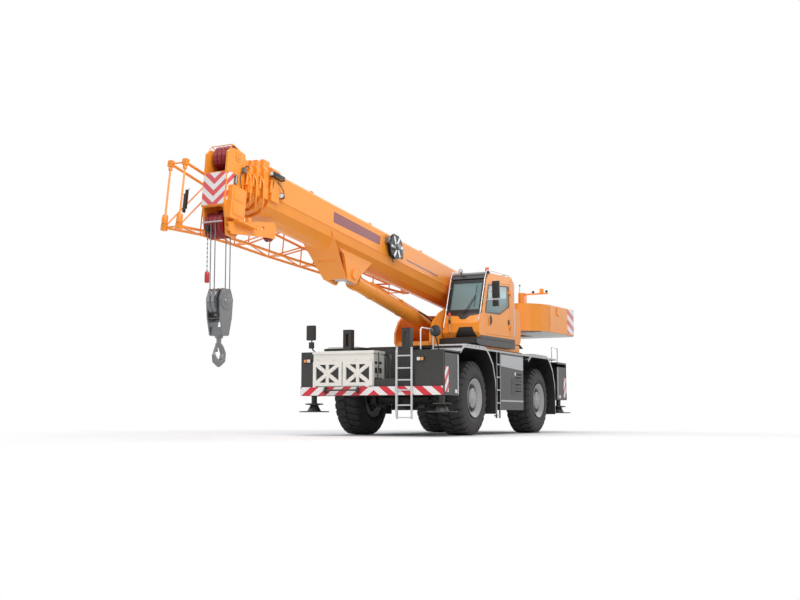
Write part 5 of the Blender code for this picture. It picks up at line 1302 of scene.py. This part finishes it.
shaped("switch_chain_links", "machined_steel", ON_BLOCK, bm)
tubes("switch_chain", "machined_steel", ON_BLOCK, 0.005, [[(*FALL, -0.88), (*FALL, -0.10)]])
fit("switch_box", "black_plastic", ON_BLOCK, block((-0.16, -0.27, -0.14), (-0.08, -0.20, -0.02), 0.012))

# %% [markdown]
# ## Stowed jib
# The lattice is CAD. Round rests stand at its post, and a black cable hangs folded on it.

# %% Jib end fittings
fit("jib_post_rests", "crane_paint", ON_BOOM,
    *[turned([(0, -0.09), (0.055, -0.085), (0.06, -0.07), (0.06, 0.06), (0.05, 0.085), (0, 0.09)],
        (u, -11.75, -0.80), (0, 0, 1), 20) for u in (-0.60, -0.95)],
    *[turned(rod(0.040, -0.05, 0.05), (u, -11.75, 0.22), (0, 0, 1), 16) for u in (-0.60, -0.95)])
fit("jib_cable_hanks", "black_plastic", ON_BOOM,
    *[block((u - 0.02, -s - 0.03, -0.55), (u + 0.02, -s + 0.03, -0.18), 0.015)
        for u, s in ((-0.86, 11.35), (-0.66, 11.55))])
tubes("jib_cable_ties", "black_plastic", ON_BOOM, 0.007,
      [[(-0.95, -11.35, -0.18), (-0.86, -11.35, -0.20), (-0.86, -11.35, -0.50)],
       [(-0.60, -11.55, -0.16), (-0.66, -11.55, -0.20), (-0.66, -11.55, -0.50)]])

# %% Lift cylinder: clamps and pipes
foot = UPPER @ Vector((0, -0.05, 2.47))
eye = BOOM @ Vector((0, -6.90, -0.76))
way = (eye - foot).normalized()
reach = (eye - foot).length
across = way.cross(UPPER.to_3x3() @ Vector((1, 0, 0))).normalized()
if across.z < 0:
    across = -across
axes = Matrix((UPPER.to_3x3() @ Vector((1, 0, 0)), across, way)).transposed()
LIFT = Matrix.Translation(foot) @ axes.to_4x4()
ON_BARREL, barrel_end = ("lift_barrel", LIFT), reach - 1.02
print("lift cylinder: %.3f m between pins" % reach)
fit("barrel_clamps", "crane_paint", ON_BARREL,
    *[turned(rect(0.171, 0.180, t - 0.03, t + 0.03), (0, 0, 0), sides=32, closed=True)
        for t in (1.2, 2.6, 4.0)],
    *[block((-0.05, 0.170, t - 0.025), (0.05, 0.225, t + 0.025), 0.005) for t in (1.2, 2.6, 4.0)])
tubes("barrel_pipes", "crane_paint", ON_BARREL, 0.013,
      [[(0.03, 0.172, barrel_end - 0.25), (0.03, 0.205, barrel_end - 0.35), (0.03, 0.205, 0.55),
        (0.03, 0.172, 0.45)],
       [(-0.03, 0.205, 2.7), (-0.03, 0.205, 0.55), (-0.03, 0.172, 0.45)]])
